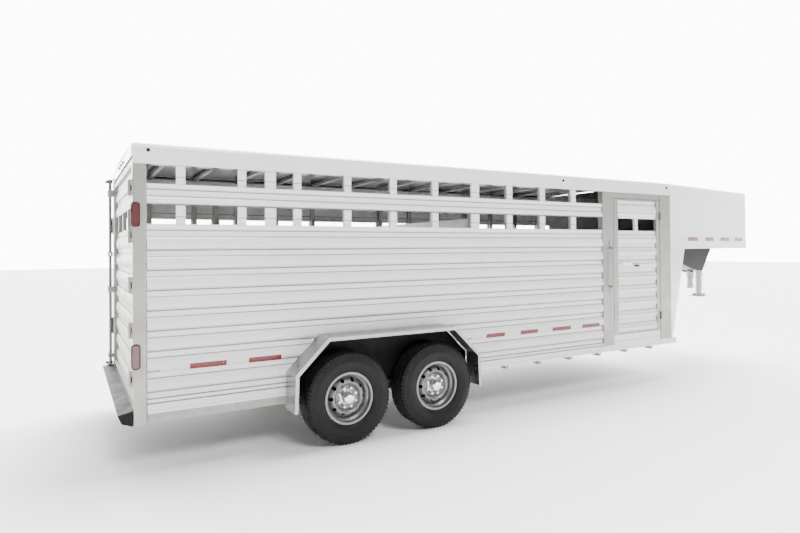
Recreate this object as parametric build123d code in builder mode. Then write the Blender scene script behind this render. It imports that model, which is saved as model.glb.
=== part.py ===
from build123d import *
import os
from math import cos, radians, sin, sqrt, tan

# A gooseneck livestock trailer. X runs forward, Y to the left (street) side, Z up from the ground.
# The origin is on the ground under the middle of the trailer's overall length.
# A "station" is a distance forward from the rear ends of the side planks.

# Overall sizes
NOSE_FRONT = 8440.0
RUB_PROUD = 2.0
REAR_OVERHANG = 225.0
OVERALL_LENGTH = NOSE_FRONT + RUB_PROUD + REAR_OVERHANG
WALL = 1067.0
HEIGHT = 2465.0
ROOF_CROWN = 20.0

# Heights of the box
SILL_BOTTOM = 436.0
SILL_TOP = 505.0
FLOOR_TOP = 505.0
RAIL_BOTTOM = 356.0
LOW_WINDOWS = (1858.0, 2003.0)
HIGH_WINDOWS = (2162.0, 2308.0)
FASCIA_BOTTOM = 2308.0
PITCH = 152.4
TOP_PLANK = 1806.0
PLANK_COUNT = 9
STRIP = 42.0
STRIP_FACE = 1046.0
BELLY_FACE = 1066.0
BELLY_TURN = 0.4

# Wall thicknesses, inward from the wall's outer face
PLANK_DEPTH = 38.0
INNER_FACE = WALL - PLANK_DEPTH
POST_DEPTH = 38.0
SHEET = 3.0

# Stations of the box
BOX_REAR = -23.0
POST_REAR = -120.0
LATCH_POST = (4886.0, 5067.0)
HINGE_POST = (5916.0, 6122.0)
BOX_FRONT = 6122.0
SILL_FRONT = 6217.0
MULLION_PITCH = 467.0
MULLIONS = [
    (222.0, 69.0), (695.0, 67.0), (932.0, 92.0), (1167.0, 67.0), (1637.0, 67.0), (2104.0, 70.0),
    (2570.0, 67.0), (3053.0, 98.0), (3502.0, 72.0), (3966.0, 73.0), (4433.0, 74.0),
]
LEFT_EXTRA_MULLIONS = [(4901.0, 72.0), (5368.0, 72.0), (5835.0, 72.0)]

# Nose
NOSE_BOTTOM = 1629.0
NOSE_TAPER = radians(8.3)
NOSE_RADIUS = 75.0
RUB_RAIL_TOP = 1808.0
WALL_FOOT = (6130.0, 430.0)
WALL_HEAD = (6485.0, NOSE_BOTTOM)

# Running gear
TYRE_R = 391.0
TYRE_WIDTH = 235.0
BEAD_R = 203.2
WHEEL_STATIONS = (1538.5, 2426.2)
TRACK_HALF = 1171.5
BOLT_CIRCLE_R = 82.55
NUT_COUNT = 8
HAND_HOLES = 10
ARM_LENGTH = 152.4
PIVOT_DROP = 79.0
BEAM = 76.0
FENDER_REACH = 1297.0
ARCH_MID = 1982.0

# Gooseneck
COUPLER_STATION = 8120.0
COUPLER_BOTTOM = 1000.0
BALL_BORE_R = 29.8
NECK_HALF = 330.0
JACK_STATION = 7930.0
JACK_Y = -267.0
FOOT_BOTTOM = 895.0

# Rear gate, door and centre gate
GATE_HINGE = (-134.0, -987.0)
GATE_BOTTOM = 495.0
GATE_TOP = 2355.0
GATE_TUBE = 50.0
GATE_ENDS = (-972.0, 984.0)
ROD_PLACE = (-152.0, 1007.0)
DOOR_X = (5074.0, 5909.0)
DOOR_Z = (624.0, 2234.0)
DOOR_HINGE = (5917.0, -1083.0)
CENTRE_STATION = 3053.0
CENTRE_HINGE_Y = 962.0

os.makedirs("parts", exist_ok=True)


def at(station):
    """X of a station."""
    return station - OVERALL_LENGTH / 2 + REAR_OVERHANG


def block(x, y, z, mode=Mode.ADD):
    """A rectangular bar between three pairs of coordinates, added to the part in hand."""
    with Locations((sum(x) / 2, sum(y) / 2, sum(z) / 2)):
        Box(abs(x[1] - x[0]), abs(y[1] - y[0]), abs(z[1] - z[0]), mode=mode)


def span(low, high):
    """A pair of stations as a pair of X coordinates."""
    return (at(low), at(high))


def upright(x, y, z, radius, mode=Mode.ADD):
    """A vertical round bar from z[0] to z[1], added to the part in hand."""
    with Locations((x, y, sum(z) / 2)):
        Cylinder(radius, z[1] - z[0], mode=mode)


def crosswise(x, y, z, radius, mode=Mode.ADD):
    """A round bar along Y from y[0] to y[1], added to the part in hand."""
    with Locations(Location((x, sum(y) / 2, z), (90, 0, 0))):
        Cylinder(radius, abs(y[1] - y[0]), mode=mode)


def save(builder, node):
    """Label a finished piece and write it as its own STEP file."""
    builder.part.label = node
    export_step(builder.part, f"parts/{node}.step")


def outline(plane, points):
    """A closed straight-sided face on a plane."""
    with BuildSketch(plane) as face:
        with BuildLine():
            Polyline(*points, close=True)
        make_face()
    return face.sketch


def tube(x, y, z, wall, along):
    """A hollow rectangular tube whose bore runs along one axis, added to the part in hand."""
    block(x, y, z)
    grow = {axis: (0 if axis == along else -wall) for axis in "XYZ"}
    inner = [
        (min(pair) - grow[axis], max(pair) + grow[axis]) for axis, pair in zip("XYZ", (x, y, z))
    ]
    block(*inner, mode=Mode.SUBTRACT)


# Side walls

def belly(shoulder, bottom, inset):
    """A wall plank's rolled belly, moved inward by an inset: an arc above an elliptical curl."""
    turn = bottom + (shoulder - bottom) * BELLY_TURN
    root = -STRIP_FACE - 1
    top_face = -STRIP_FACE - 5 + inset
    half_way = top_face * 0.25 + (-BELLY_FACE + inset) * 0.75
    ThreePointArc(
        (top_face, shoulder - inset), (half_way, (shoulder - inset + turn) / 2),
        (-BELLY_FACE + inset, turn),
    )
    EllipticalCenterArc(
        (root, turn), BELLY_FACE + root - inset, turn - bottom - inset, start_angle=180, arc_size=90
    )


def plank_face(plane, top, bottom):
    """Section of one right-hand wall plank: a flat strip over an outward belly, hollow inside.

    Sketch x is Y and sketch y is Z; the wall's outer face is at Y = -WALL."""
    inner, root = -INNER_FACE, -STRIP_FACE - 1
    shoulder = top - STRIP
    skin = 2.5
    with BuildSketch(plane) as face:
        with BuildLine():
            Polyline(
                (root, bottom), (inner, bottom), (inner, top), (-STRIP_FACE, top),
                (-STRIP_FACE, shoulder), (-STRIP_FACE - 5, shoulder),
            )
            belly(shoulder, bottom, 0)
        make_face()
        with BuildLine():
            Polyline(
                (root, bottom + skin), (inner - skin, bottom + skin), (inner - skin, shoulder - skin),
                (-STRIP_FACE - 5 + skin, shoulder - skin),
            )
            belly(shoulder, bottom, skin)
        make_face(mode=Mode.SUBTRACT)
        with Locations(((inner - STRIP_FACE) / 2, (top + shoulder) / 2)):
            Rectangle(STRIP_FACE + inner - 2 * skin, STRIP - 2 * skin, mode=Mode.SUBTRACT)
    return face.sketch


def window_rail_face(plane, bottom, top):
    """Section of the rail under a row of openings, curled in along its lower edge."""
    root, curl = -STRIP_FACE - 1, 34.0
    with BuildSketch(plane) as face:
        with BuildLine():
            Polyline(
                (root, bottom), (-INNER_FACE, bottom), (-INNER_FACE, top), (root - 13, top),
                (root - 13, bottom + curl),
            )
            EllipticalCenterArc((root, bottom + curl), 13, curl, start_angle=180, arc_size=90)
        make_face()
        with Locations(((root - INNER_FACE) / 2 - 1, (bottom + top) / 2 + 3)):
            Rectangle(14, top - bottom - 14, mode=Mode.SUBTRACT)
    return face.sketch


def arch_points(inset, foot):
    """The wheel opening's outline, seen from the side, moved inward by an inset, down to a foot."""
    fan = 0.41 * inset
    return [
        (at(ARCH_MID - 940 + inset), foot), (at(ARCH_MID - 928 + inset), 642 - fan),
        (at(ARCH_MID - 642 + fan), 922 - inset), (at(ARCH_MID + 642 - fan), 922 - inset),
        (at(ARCH_MID + 928 - inset), 642 - fan), (at(ARCH_MID + 940 - inset), foot),
    ]


PLANK_GAP = 0.4
BETWEEN_TOP = 2117.0
plank_tops = [TOP_PLANK - PITCH * n for n in range(PLANK_COUNT)]


def wall_planks(front):
    """The planks of the right-hand wall from the rear corner post to a station."""
    start = Plane.YZ.offset(at(BOX_REAR + 1))
    length = front - BOX_REAR - 2
    with BuildPart() as planks:
        for top in plank_tops:
            bottom = max(top - PITCH + PLANK_GAP, SILL_TOP + PLANK_GAP)
            extrude(plank_face(start, top, bottom), amount=length)
        extrude(plank_face(start, BETWEEN_TOP, LOW_WINDOWS[1]), amount=length)
        extrude(window_rail_face(start, BETWEEN_TOP + PLANK_GAP, HIGH_WINDOWS[0]), amount=length)
        extrude(window_rail_face(start, TOP_PLANK + PLANK_GAP, LOW_WINDOWS[0]), amount=length)
        extrude(
            outline(Plane.XZ.offset(INNER_FACE - 40), arch_points(10, 340)), amount=120,
            mode=Mode.SUBTRACT,
        )
    return planks.part


def mullion_plates(mullions):
    """Flush white plates that close the rows of openings at each post."""
    with BuildPart() as plates:
        for station, width in mullions:
            for low, high in (LOW_WINDOWS, HIGH_WINDOWS):
                block(
                    (at(station - width / 2), at(station + width / 2)),
                    (-INNER_FACE - 21, -INNER_FACE - 0.5), (low + PLANK_GAP, high - PLANK_GAP),
                )
    return plates.part


def hard_edge_panel(x, z):
    """A flat white panel flush with the sill, from x[0] to x[1]."""
    with BuildPart() as panel:
        block(x, (-INNER_FACE - 30, -INNER_FACE), z)
    return panel.part


with BuildPart() as side_planks_right:
    add(wall_planks(LATCH_POST[0]))
    add(mullion_plates(MULLIONS))
    add(hard_edge_panel(span(LATCH_POST[1] + 1, HINGE_POST[0] - 1), (SILL_TOP + PLANK_GAP, DOOR_Z[0] - 6)))
save(side_planks_right, "side_planks_right")

with BuildPart() as left_wall:
    add(wall_planks(BOX_FRONT))
    add(mullion_plates(MULLIONS + LEFT_EXTRA_MULLIONS))
with BuildPart() as side_planks_left:
    mirror(left_wall.part, about=Plane.XZ)
save(side_planks_left, "side_planks_left")


def post_bottom(station):
    return 930 if abs(station - ARCH_MID) < 960 else FLOOR_TOP + 0.5


with BuildPart() as wall_posts_one_side:
    for post_station, post_width in MULLIONS:
        tube(
            span(post_station - 25, post_station + 25),
            (-INNER_FACE + 0.5, -INNER_FACE + POST_DEPTH),
            (post_bottom(post_station), FASCIA_BOTTOM - 0.5), 3, "Z",
        )
with BuildPart() as left_extra_posts:
    for post_station, post_width in LEFT_EXTRA_MULLIONS:
        tube(
            span(post_station - 25, post_station + 25),
            (-INNER_FACE + 0.5, -INNER_FACE + POST_DEPTH),
            (FLOOR_TOP + 0.5, FASCIA_BOTTOM - 0.5), 3, "Z",
        )
with BuildPart() as wall_posts:
    add(wall_posts_one_side.part)
    mirror(wall_posts_one_side.part, about=Plane.XZ)
    mirror(left_extra_posts.part, about=Plane.XZ)
save(wall_posts, "wall_posts")


# Underframe and floor

def channel(x, y, z, wall, open_side):
    """A C-section along X with its open side facing +Y or -Y, added to the part in hand."""
    block(x, y, z)
    low, high = min(y), max(y)
    inner = (low - 1, high - wall) if open_side < 0 else (low + wall, high + 1)
    block(x, inner, (z[0] + wall, z[1] - wall), mode=Mode.SUBTRACT)


with BuildPart() as right_sill:
    with BuildSketch(Plane.YZ.offset(at(BOX_REAR + 1))):
        with BuildLine():
            Polyline(
                (-INNER_FACE, SILL_TOP), (-INNER_FACE - 31, SILL_TOP), (-INNER_FACE - 33, 459),
                (-WALL, 459), (-WALL, SILL_BOTTOM), (-INNER_FACE + 60, SILL_BOTTOM),
                (-INNER_FACE + 60, SILL_BOTTOM + 5), (-INNER_FACE - 25, SILL_BOTTOM + 5),
                (-INNER_FACE - 25, SILL_TOP - 5), (-INNER_FACE, SILL_TOP - 5), close=True,
            )
        make_face()
    extrude(amount=SILL_FRONT - BOX_REAR - 1)
    block(
        span(ARCH_MID - 930, ARCH_MID + 930), (-WALL - 5, -INNER_FACE + 34),
        (SILL_BOTTOM - 5, SILL_TOP + 5), mode=Mode.SUBTRACT,
    )
with BuildPart() as side_sills:
    add(right_sill.part)
    mirror(right_sill.part, about=Plane.XZ)
save(side_sills, "side_sills")

MEMBER_PITCH = 463.0
MEMBER_TOP = 477.0
MEMBER_BOTTOM = 401.0
member_stations = [211.0 + MEMBER_PITCH * n for n in range(13)]
LOWER_RAIL_Y = (-WALL + 57, -WALL + 112)
RAIL_TABS = ((177, 258), (652, 741))
with BuildPart() as right_lower_rail:
    channel(span(BOX_REAR + 1, ARCH_MID + 915), LOWER_RAIL_Y, (RAIL_BOTTOM, SILL_BOTTOM - 0.4), 6, 1)
    for tab in RAIL_TABS:
        block(span(*tab), (LOWER_RAIL_Y[0] - 12, LOWER_RAIL_Y[0]), (SILL_BOTTOM - 48, SILL_BOTTOM - 0.5))
with BuildPart() as crossmembers:
    add(right_lower_rail.part)
    mirror(right_lower_rail.part, about=Plane.XZ)
    for member in member_stations:
        reach = WALL - 112.5 if member < ARCH_MID + 915 else INNER_FACE - 62
        block(span(member - 25, member + 25), (-reach, reach), (MEMBER_TOP - 5, MEMBER_TOP))
        block(span(member - 3, member + 3), (-reach, reach), (MEMBER_BOTTOM, MEMBER_TOP))
        block(span(member - 25, member + 25), (-reach, reach), (MEMBER_BOTTOM, MEMBER_BOTTOM + 5))
    for member in member_stations[7:]:
        for side in (-1, 1):
            block(
                span(member - 20, member + 20), (side * (INNER_FACE - 62), side * (INNER_FACE + 10)),
                (SILL_BOTTOM - 40, SILL_BOTTOM - 0.5),
            )
save(crossmembers, "crossmembers")

BOARD_COUNT = 9
board_pitch = 2 * (INNER_FACE - POST_DEPTH - 1) / BOARD_COUNT
with BuildPart() as floor_planks:
    for n in range(BOARD_COUNT):
        middle = board_pitch * (n - (BOARD_COUNT - 1) / 2)
        tube(
            span(POST_REAR + 60, BOX_FRONT - 1), (middle - board_pitch / 2 + 0.3, middle + board_pitch / 2 - 0.3),
            (MEMBER_TOP + 0.5, FLOOR_TOP), 3, "X",
        )
        for rib in (-1, 1):
            block(
                span(POST_REAR + 60, BOX_FRONT - 1),
                (middle + rib * board_pitch / 6 - 1.5, middle + rib * board_pitch / 6 + 1.5),
                (MEMBER_TOP + 0.5, FLOOR_TOP),
            )
save(floor_planks, "floor_planks")

# Rear corner posts, header and sill, and the posts of the side door

CORNER_INNER_Y = 992.0
HEADER_BOTTOM = 2372.0
with BuildPart() as corner_post:
    with BuildSketch(Plane.XY.offset(362)):
        with BuildLine():
            FilletPolyline(
                (at(BOX_REAR), -INNER_FACE + 1), (at(BOX_REAR), -WALL), (at(POST_REAR), -WALL),
                (at(POST_REAR), -CORNER_INNER_Y), radius=(12,) * 2,
            )
            Polyline(
                (at(POST_REAR), -CORNER_INNER_Y), (at(POST_REAR) + 50, -CORNER_INNER_Y),
                (at(POST_REAR) + 50, -INNER_FACE + 1), (at(BOX_REAR), -INNER_FACE + 1),
            )
        make_face()
    extrude(amount=FASCIA_BOTTOM - 362 - 0.5)
    with BuildSketch(Plane.XY.offset(362)):
        with Locations((at(POST_REAR) + 25, -(WALL + CORNER_INNER_Y) / 2)):
            Rectangle(42, WALL - CORNER_INNER_Y - 8)
        with Locations((at(BOX_REAR) - 25, -(WALL + INNER_FACE) / 2)):
            Rectangle(42, PLANK_DEPTH - 8)
        with Locations((at(POST_REAR + 58), -WALL)):
            Rectangle(16, 5)
    extrude(amount=FASCIA_BOTTOM, mode=Mode.SUBTRACT)
with BuildPart() as rear_frame:
    add(corner_post.part)
    mirror(corner_post.part, about=Plane.XZ)
    tube(
        span(POST_REAR + 8, POST_REAR + 60), (-CORNER_INNER_Y + 0.5, CORNER_INNER_Y - 0.5),
        (HEADER_BOTTOM, HEIGHT - 45), 3, "Y",
    )
    tube(
        span(POST_REAR, BOX_REAR - 1), (-CORNER_INNER_Y + 0.5, CORNER_INNER_Y - 0.5),
        (RAIL_BOTTOM + 6, MEMBER_TOP), 4, "Y",
    )
save(rear_frame, "rear_frame")

with BuildPart() as door_posts:
    for low, high in (LATCH_POST, HINGE_POST):
        tube(
            span(low + 0.5, high - 0.5), (-WALL, -INNER_FACE + 30),
            (SILL_TOP + 0.5, FASCIA_BOTTOM - 0.5), 3, "Z",
        )
    block(
        span(LATCH_POST[1] + 0.5, HINGE_POST[0] - 0.5), (-WALL + 4, -INNER_FACE + 30),
        (DOOR_Z[1] + 6, FASCIA_BOTTOM - 0.5),
    )
save(door_posts, "door_posts")

# Roof

ROOF_FRONT = BOX_FRONT
RAIL_ROUND = 38.0
RAIL_REAR = POST_REAR
with BuildPart() as right_roof_rail:
    with BuildSketch(Plane.YZ.offset(at(RAIL_REAR))):
        with BuildLine():
            Line((-WALL, FASCIA_BOTTOM), (-WALL, HEIGHT - RAIL_ROUND))
            RadiusArc((-WALL, HEIGHT - RAIL_ROUND), (-WALL + RAIL_ROUND, HEIGHT), RAIL_ROUND)
            Polyline(
                (-WALL + RAIL_ROUND, HEIGHT), (-WALL + 90, HEIGHT), (-WALL + 90, HEIGHT - 4),
                (-WALL + RAIL_ROUND, HEIGHT - 4),
            )
            RadiusArc(
                (-WALL + 4, HEIGHT - RAIL_ROUND), (-WALL + RAIL_ROUND, HEIGHT - 4), RAIL_ROUND - 4
            )
            Polyline(
                (-WALL + 4, HEIGHT - RAIL_ROUND), (-WALL + 4, FASCIA_BOTTOM + 5),
                (-INNER_FACE + POST_DEPTH, FASCIA_BOTTOM + 5), (-INNER_FACE + POST_DEPTH, FASCIA_BOTTOM),
                (-WALL, FASCIA_BOTTOM),
            )
        make_face()
    extrude(amount=ROOF_FRONT - RAIL_REAR - 0.5)
with BuildPart() as roof_rails:
    add(right_roof_rail.part)
    mirror(right_roof_rail.part, about=Plane.XZ)
    tube(
        span(RAIL_REAR, POST_REAR + 7.5), (-WALL + 91, WALL - 91),
        (HEADER_BOTTOM, HEIGHT - 0.5), 3, "Y",
    )
save(roof_rails, "roof_rails")


def crowned_band(plane, half_width, low, thick):
    """Section across the trailer that rises to the roof crown in the middle."""
    with BuildSketch(plane) as face:
        with BuildLine():
            ThreePointArc((-half_width, low), (0, low + ROOF_CROWN), (half_width, low))
            Line((half_width, low), (half_width, low + thick))
            ThreePointArc((half_width, low + thick), (0, low + thick + ROOF_CROWN), (-half_width, low + thick))
            Line((-half_width, low + thick), (-half_width, low))
        make_face()
    return face.sketch


SKIN_LOW = HEIGHT + 0.5
with BuildPart() as roof_skin:
    extrude(
        crowned_band(Plane.YZ.offset(at(RAIL_REAR + 2)), WALL - RAIL_ROUND - 4, SKIN_LOW, 2),
        amount=ROOF_FRONT - RAIL_REAR - 3,
    )
save(roof_skin, "roof_skin")

bow_stations = [MULLION_PITCH * n + 230 for n in range(13)]
with BuildPart() as roof_bows:
    for bow in bow_stations:
        extrude(
            crowned_band(Plane.YZ.offset(at(bow - 20)), INNER_FACE - POST_DEPTH - 2, HEIGHT - 42, 36),
            amount=40,
        )
        extrude(
            crowned_band(Plane.YZ.offset(at(bow - 17)), INNER_FACE - POST_DEPTH + 2, HEIGHT - 39, 30),
            amount=34, mode=Mode.SUBTRACT,
        )
save(roof_bows, "roof_bows")

# Nose


def nose_half(station):
    """Half the nose's width at a station: it tapers from the front of the box."""
    return WALL - (station - BOX_FRONT) * tan(NOSE_TAPER)


def nose_face(plane, inset, rear, radius=NOSE_RADIUS):
    """Plan of the nose, moved inward by an inset, from a rear station forward."""
    front = NOSE_FRONT - inset
    side = [(at(rear), nose_half(rear) - inset), (at(front), nose_half(front) - inset)]
    with BuildSketch(plane) as face:
        with BuildLine():
            FilletPolyline(*[(x, -y) for x, y in side], *reversed(side), radius=radius - inset)
            Line(side[0], (side[0][0], -side[0][1]))
        make_face()
    return face.sketch


# Sketch x runs forward along the nose's right side from the front of the box; sketch y is Z.
NOSE_SIDE = Plane(
    origin=(at(BOX_FRONT), -WALL, 0), x_dir=(cos(NOSE_TAPER), sin(NOSE_TAPER), 0),
    z_dir=(sin(NOSE_TAPER), -cos(NOSE_TAPER), 0),
)
DRIP_LIP = 12.0

with BuildPart() as nose_cap:
    extrude(nose_face(Plane.XY.offset(FASCIA_BOTTOM), 0, BOX_FRONT + 0.5), amount=HEIGHT - FASCIA_BOTTOM)
    top_rim = nose_cap.faces().sort_by(Axis.Z)[-1].edges().filter_by(
        lambda edge: edge.center().X > at(BOX_FRONT + 2)
    )
    fillet(top_rim, radius=RAIL_ROUND - 2)
    extrude(
        nose_face(Plane.XY.offset(FASCIA_BOTTOM - 1), 4, BOX_FRONT - 3),
        amount=HEIGHT - FASCIA_BOTTOM - 39, mode=Mode.SUBTRACT,
    )
    extrude(
        nose_face(Plane.XY.offset(FASCIA_BOTTOM - 1), 42, BOX_FRONT - 3),
        amount=HEIGHT - FASCIA_BOTTOM - 3, mode=Mode.SUBTRACT,
    )
    extrude(nose_face(Plane.XY.offset(FASCIA_BOTTOM), -RUB_PROUD, BOX_FRONT + 0.5), amount=DRIP_LIP)
    extrude(
        nose_face(Plane.XY.offset(FASCIA_BOTTOM - 1), 3, BOX_FRONT - 3), amount=DRIP_LIP + 2,
        mode=Mode.SUBTRACT,
    )
save(nose_cap, "nose_cap")

with BuildPart() as nose_skin:
    extrude(
        nose_face(Plane.XY.offset(NOSE_BOTTOM), 1, BOX_FRONT + 0.5),
        amount=FASCIA_BOTTOM - NOSE_BOTTOM - 0.5,
    )
    extrude(
        nose_face(Plane.XY.offset(NOSE_BOTTOM - 1), 4, BOX_FRONT - 3),
        amount=FASCIA_BOTTOM - NOSE_BOTTOM + 2, mode=Mode.SUBTRACT,
    )
save(nose_skin, "nose_skin")

with BuildPart() as nose_rub_rail:
    extrude(
        nose_face(Plane.XY.offset(NOSE_BOTTOM), -RUB_PROUD, BOX_FRONT + 0.5),
        amount=RUB_RAIL_TOP - NOSE_BOTTOM,
    )
    extrude(
        nose_face(Plane.XY.offset(NOSE_BOTTOM - 1), 0.7, BOX_FRONT - 3),
        amount=RUB_RAIL_TOP - NOSE_BOTTOM + 2, mode=Mode.SUBTRACT,
    )
save(nose_rub_rail, "nose_rub_rail")

DECK_THICK = 60.0
with BuildPart() as nose_floor:
    extrude(
        nose_face(Plane.XY.offset(NOSE_BOTTOM + 0.5), 5, WALL_HEAD[0] + 14), amount=DECK_THICK
    )
    for n in range(5):
        low = WALL_HEAD[0] + 50 + 380 * n
        block(
            span(low, low + 360), (-620, 620), (NOSE_BOTTOM, NOSE_BOTTOM + DECK_THICK - 6),
            mode=Mode.SUBTRACT,
        )
save(nose_floor, "nose_floor")

# Sloping front wall with its side cheeks

WALL_RISE = NOSE_BOTTOM - 0.5 - SILL_TOP - 1
SHEET_RUN = 12.0
sheet_foot = at(WALL_FOOT[0]) + 14
sheet_head = at(WALL_HEAD[0]) - 8
with BuildPart() as front_wall:
    extrude(nose_face(Plane.XY.offset(SILL_TOP + 1), 1, BOX_FRONT + 1), amount=WALL_RISE)
    extrude(
        outline(
            Plane.XZ.offset(-WALL), [
                (at(BOX_FRONT), SILL_TOP), (sheet_foot + SHEET_RUN, SILL_TOP),
                (sheet_head + SHEET_RUN, NOSE_BOTTOM), (at(BOX_FRONT), NOSE_BOTTOM),
            ]
        ),
        amount=2 * WALL, mode=Mode.INTERSECT,
    )
    with BuildPart(mode=Mode.PRIVATE) as behind_sheet:
        extrude(nose_face(Plane.XY.offset(SILL_TOP), 5, BOX_FRONT - 3), amount=WALL_RISE + 3)
        extrude(
            outline(
                Plane.XZ.offset(-WALL), [
                    (at(BOX_FRONT) - 5, SILL_TOP - 1), (sheet_foot, SILL_TOP - 1),
                    (sheet_head, NOSE_BOTTOM + 2), (at(BOX_FRONT) - 5, NOSE_BOTTOM + 2),
                ]
            ),
            amount=2 * WALL, mode=Mode.INTERSECT,
        )
    add(behind_sheet.part, mode=Mode.SUBTRACT)
    block(
        span(BOX_FRONT + 1, WALL_FOOT[0] + 22), (-INNER_FACE + 62, INNER_FACE - 62),
        (SILL_BOTTOM, SILL_TOP + 2),
    )
save(front_wall, "front_wall")

# Fenders and the boxes behind the wheels


def bent_strip(plane, points, thick, radius):
    """A bent sheet's edge: a strip of one thickness, inside a line of points."""
    with BuildSketch(plane) as face:
        with BuildLine():
            FilletPolyline(*points, radius=radius)
            offset(amount=thick, side=Side.RIGHT)
        make_face()
    return face.sketch


FENDER_LIP = 30.0
FENDER_FOOT = 332.0
with BuildPart() as right_fender:
    extrude(
        bent_strip(Plane.XZ.offset(WALL + 2.5), arch_points(0, FENDER_FOOT), SHEET, 25),
        amount=FENDER_REACH - WALL - 2.5,
    )
    extrude(
        bent_strip(Plane.XZ.offset(FENDER_REACH - SHEET), arch_points(0, FENDER_FOOT), FENDER_LIP, 25),
        amount=SHEET,
    )
with BuildPart() as fenders:
    add(right_fender.part)
    mirror(right_fender.part, about=Plane.XZ)
save(fenders, "fenders")

BOX_INNER_Y = 1000.0
with BuildPart() as right_wheel_box:
    extrude(
        bent_strip(Plane.XZ.offset(BOX_INNER_Y - 3), arch_points(13, SILL_BOTTOM + 2), SHEET, 20),
        amount=WALL - BOX_INNER_Y,
    )
    extrude(
        outline(Plane.XZ.offset(BOX_INNER_Y - 3), arch_points(13, SILL_BOTTOM + 2)), amount=SHEET
    )
with BuildPart() as wheel_boxes:
    add(right_wheel_box.part)
    mirror(right_wheel_box.part, about=Plane.XZ)
save(wheel_boxes, "wheel_boxes")

# Running gear: torsion axle beams, arms, hubs, rims and tyres

ARM_RUN = sqrt(ARM_LENGTH**2 - PIVOT_DROP**2)
PIVOT_Z = TYRE_R - PIVOT_DROP
BEAM_HALF_LENGTH = 1005.0
with BuildPart() as axle_beams:
    for station in WHEEL_STATIONS:
        beam_x = at(station) + ARM_RUN
        half = BEAM / 2
        tube(
            (beam_x - half, beam_x + half), (-BEAM_HALF_LENGTH, BEAM_HALF_LENGTH),
            (PIVOT_Z - half, PIVOT_Z + half), 6, "Y",
        )
        for side in (-1, 1):
            block(
                (beam_x - 90, beam_x + 90), (side * 957, side * 1009),
                (PIVOT_Z + half - 0.5, RAIL_BOTTOM - 0.4),
            )
save(axle_beams, "axle_beams")

ARM_FACE_Y = 1016.0
SPINDLE_R = 22.0
with BuildPart() as arm_pattern:
    with BuildSketch(Plane.XZ.offset(ARM_FACE_Y)):
        Circle(46)
        with Locations((-ARM_RUN, PIVOT_DROP)):
            Circle(38)
        make_hull()
    extrude(amount=30)
    with BuildSketch(Plane.XZ.offset(ARM_FACE_Y - 180)):
        Rectangle(38, 38)
    extrude(amount=181)
    with BuildSketch(Plane.XZ.offset(ARM_FACE_Y + 29)):
        with Locations((-ARM_RUN, PIVOT_DROP)):
            Circle(SPINDLE_R)
    extrude(amount=TRACK_HALF - ARM_FACE_Y - 3)

# One wheel about its own centre, with its outer side facing -Y. Sketch x is radius, sketch y is Y.
SPIN = Axis((0, 0, 0), (0, 1, 0))
with BuildPart() as tyre_pattern:
    with BuildSketch(Plane.XY):
        with BuildLine():
            half_tread = 86.0
            half_width = TYRE_WIDTH / 2
            Line((TYRE_R - 4, -half_tread), (TYRE_R - 4, half_tread))
            for sign in (-1, 1):
                ThreePointArc(
                    (TYRE_R - 4, sign * half_tread), (TYRE_R - 16, sign * (half_width - 14)),
                    (TYRE_R - 45, sign * (half_width - 5)),
                )
                ThreePointArc(
                    (TYRE_R - 45, sign * (half_width - 5)), (297, sign * half_width),
                    (232, sign * (half_width - 17)),
                )
                Polyline(
                    (232, sign * (half_width - 17)), (224, sign * (half_width - 27)),
                    (209, sign * (half_width - 27)), (209, sign * (half_width - 42)),
                    (224, sign * (half_width - 44)),
                )
                ThreePointArc(
                    (224, sign * (half_width - 44)), (297, sign * (half_width - 12)),
                    (TYRE_R - 45, sign * (half_width - 22)),
                )
            ThreePointArc((TYRE_R - 45, -half_width + 22), (TYRE_R - 18, 0), (TYRE_R - 45, half_width - 22))
        make_face()
    revolve(axis=SPIN)
    with BuildSketch(Plane.XY):
        for groove in (-52, -18, 18, 52):
            with Locations((TYRE_R - 5, groove)):
                Rectangle(10, 7)
    revolve(axis=SPIN, mode=Mode.SUBTRACT)
    with BuildSketch(Plane.XY):
        for rib in (-69, -35, 0, 35, 69):
            with Locations((TYRE_R - 4, rib)):
                Rectangle(8, 26)
    revolve(axis=SPIN)

RIM_OUT = -92.0
with BuildPart() as rim_pattern:
    with BuildSketch(Plane.XY):
        with BuildLine():
            Polyline(
                (221, RIM_OUT - 4), (221, RIM_OUT), (208, RIM_OUT + 1), (207, -66), (203, -50),
                (186, -36), (186, 30), (203, 48), (207, 70), (207, 91), (221, 92), (221, 96),
                (203, 95), (203, 72), (199, 50), (182, 32), (182, -38), (199, -53), (203, -68),
                (203, RIM_OUT - 3), (221, RIM_OUT - 4), close=True,
            )
        make_face()
    revolve(axis=SPIN)
    with BuildSketch(Plane.XY):
        with BuildLine():
            Spline((183, -18), (166, -30), (147, -58), (128, -66), (113, -52), (103, -36), (97, -30))
            Line((97, -30), (63, -30))
            Line((63, -30), (63, -22))
            Line((63, -22), (97, -22))
            Spline((97, -22), (106, -27), (117, -44), (130, -57), (142, -50), (160, -22), (183, -9))
            Line((183, -9), (183, -18))
        make_face()
    revolve(axis=SPIN)
    with BuildSketch(Plane.XZ.offset(-10)):
        with PolarLocations(150, HAND_HOLES):
            Circle(17)
    extrude(amount=90, mode=Mode.SUBTRACT)
    with BuildSketch(Plane.XZ.offset(0)):
        with PolarLocations(BOLT_CIRCLE_R, NUT_COUNT, start_angle=180 / NUT_COUNT):
            Circle(8.2)
    extrude(amount=60, mode=Mode.SUBTRACT)

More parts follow.
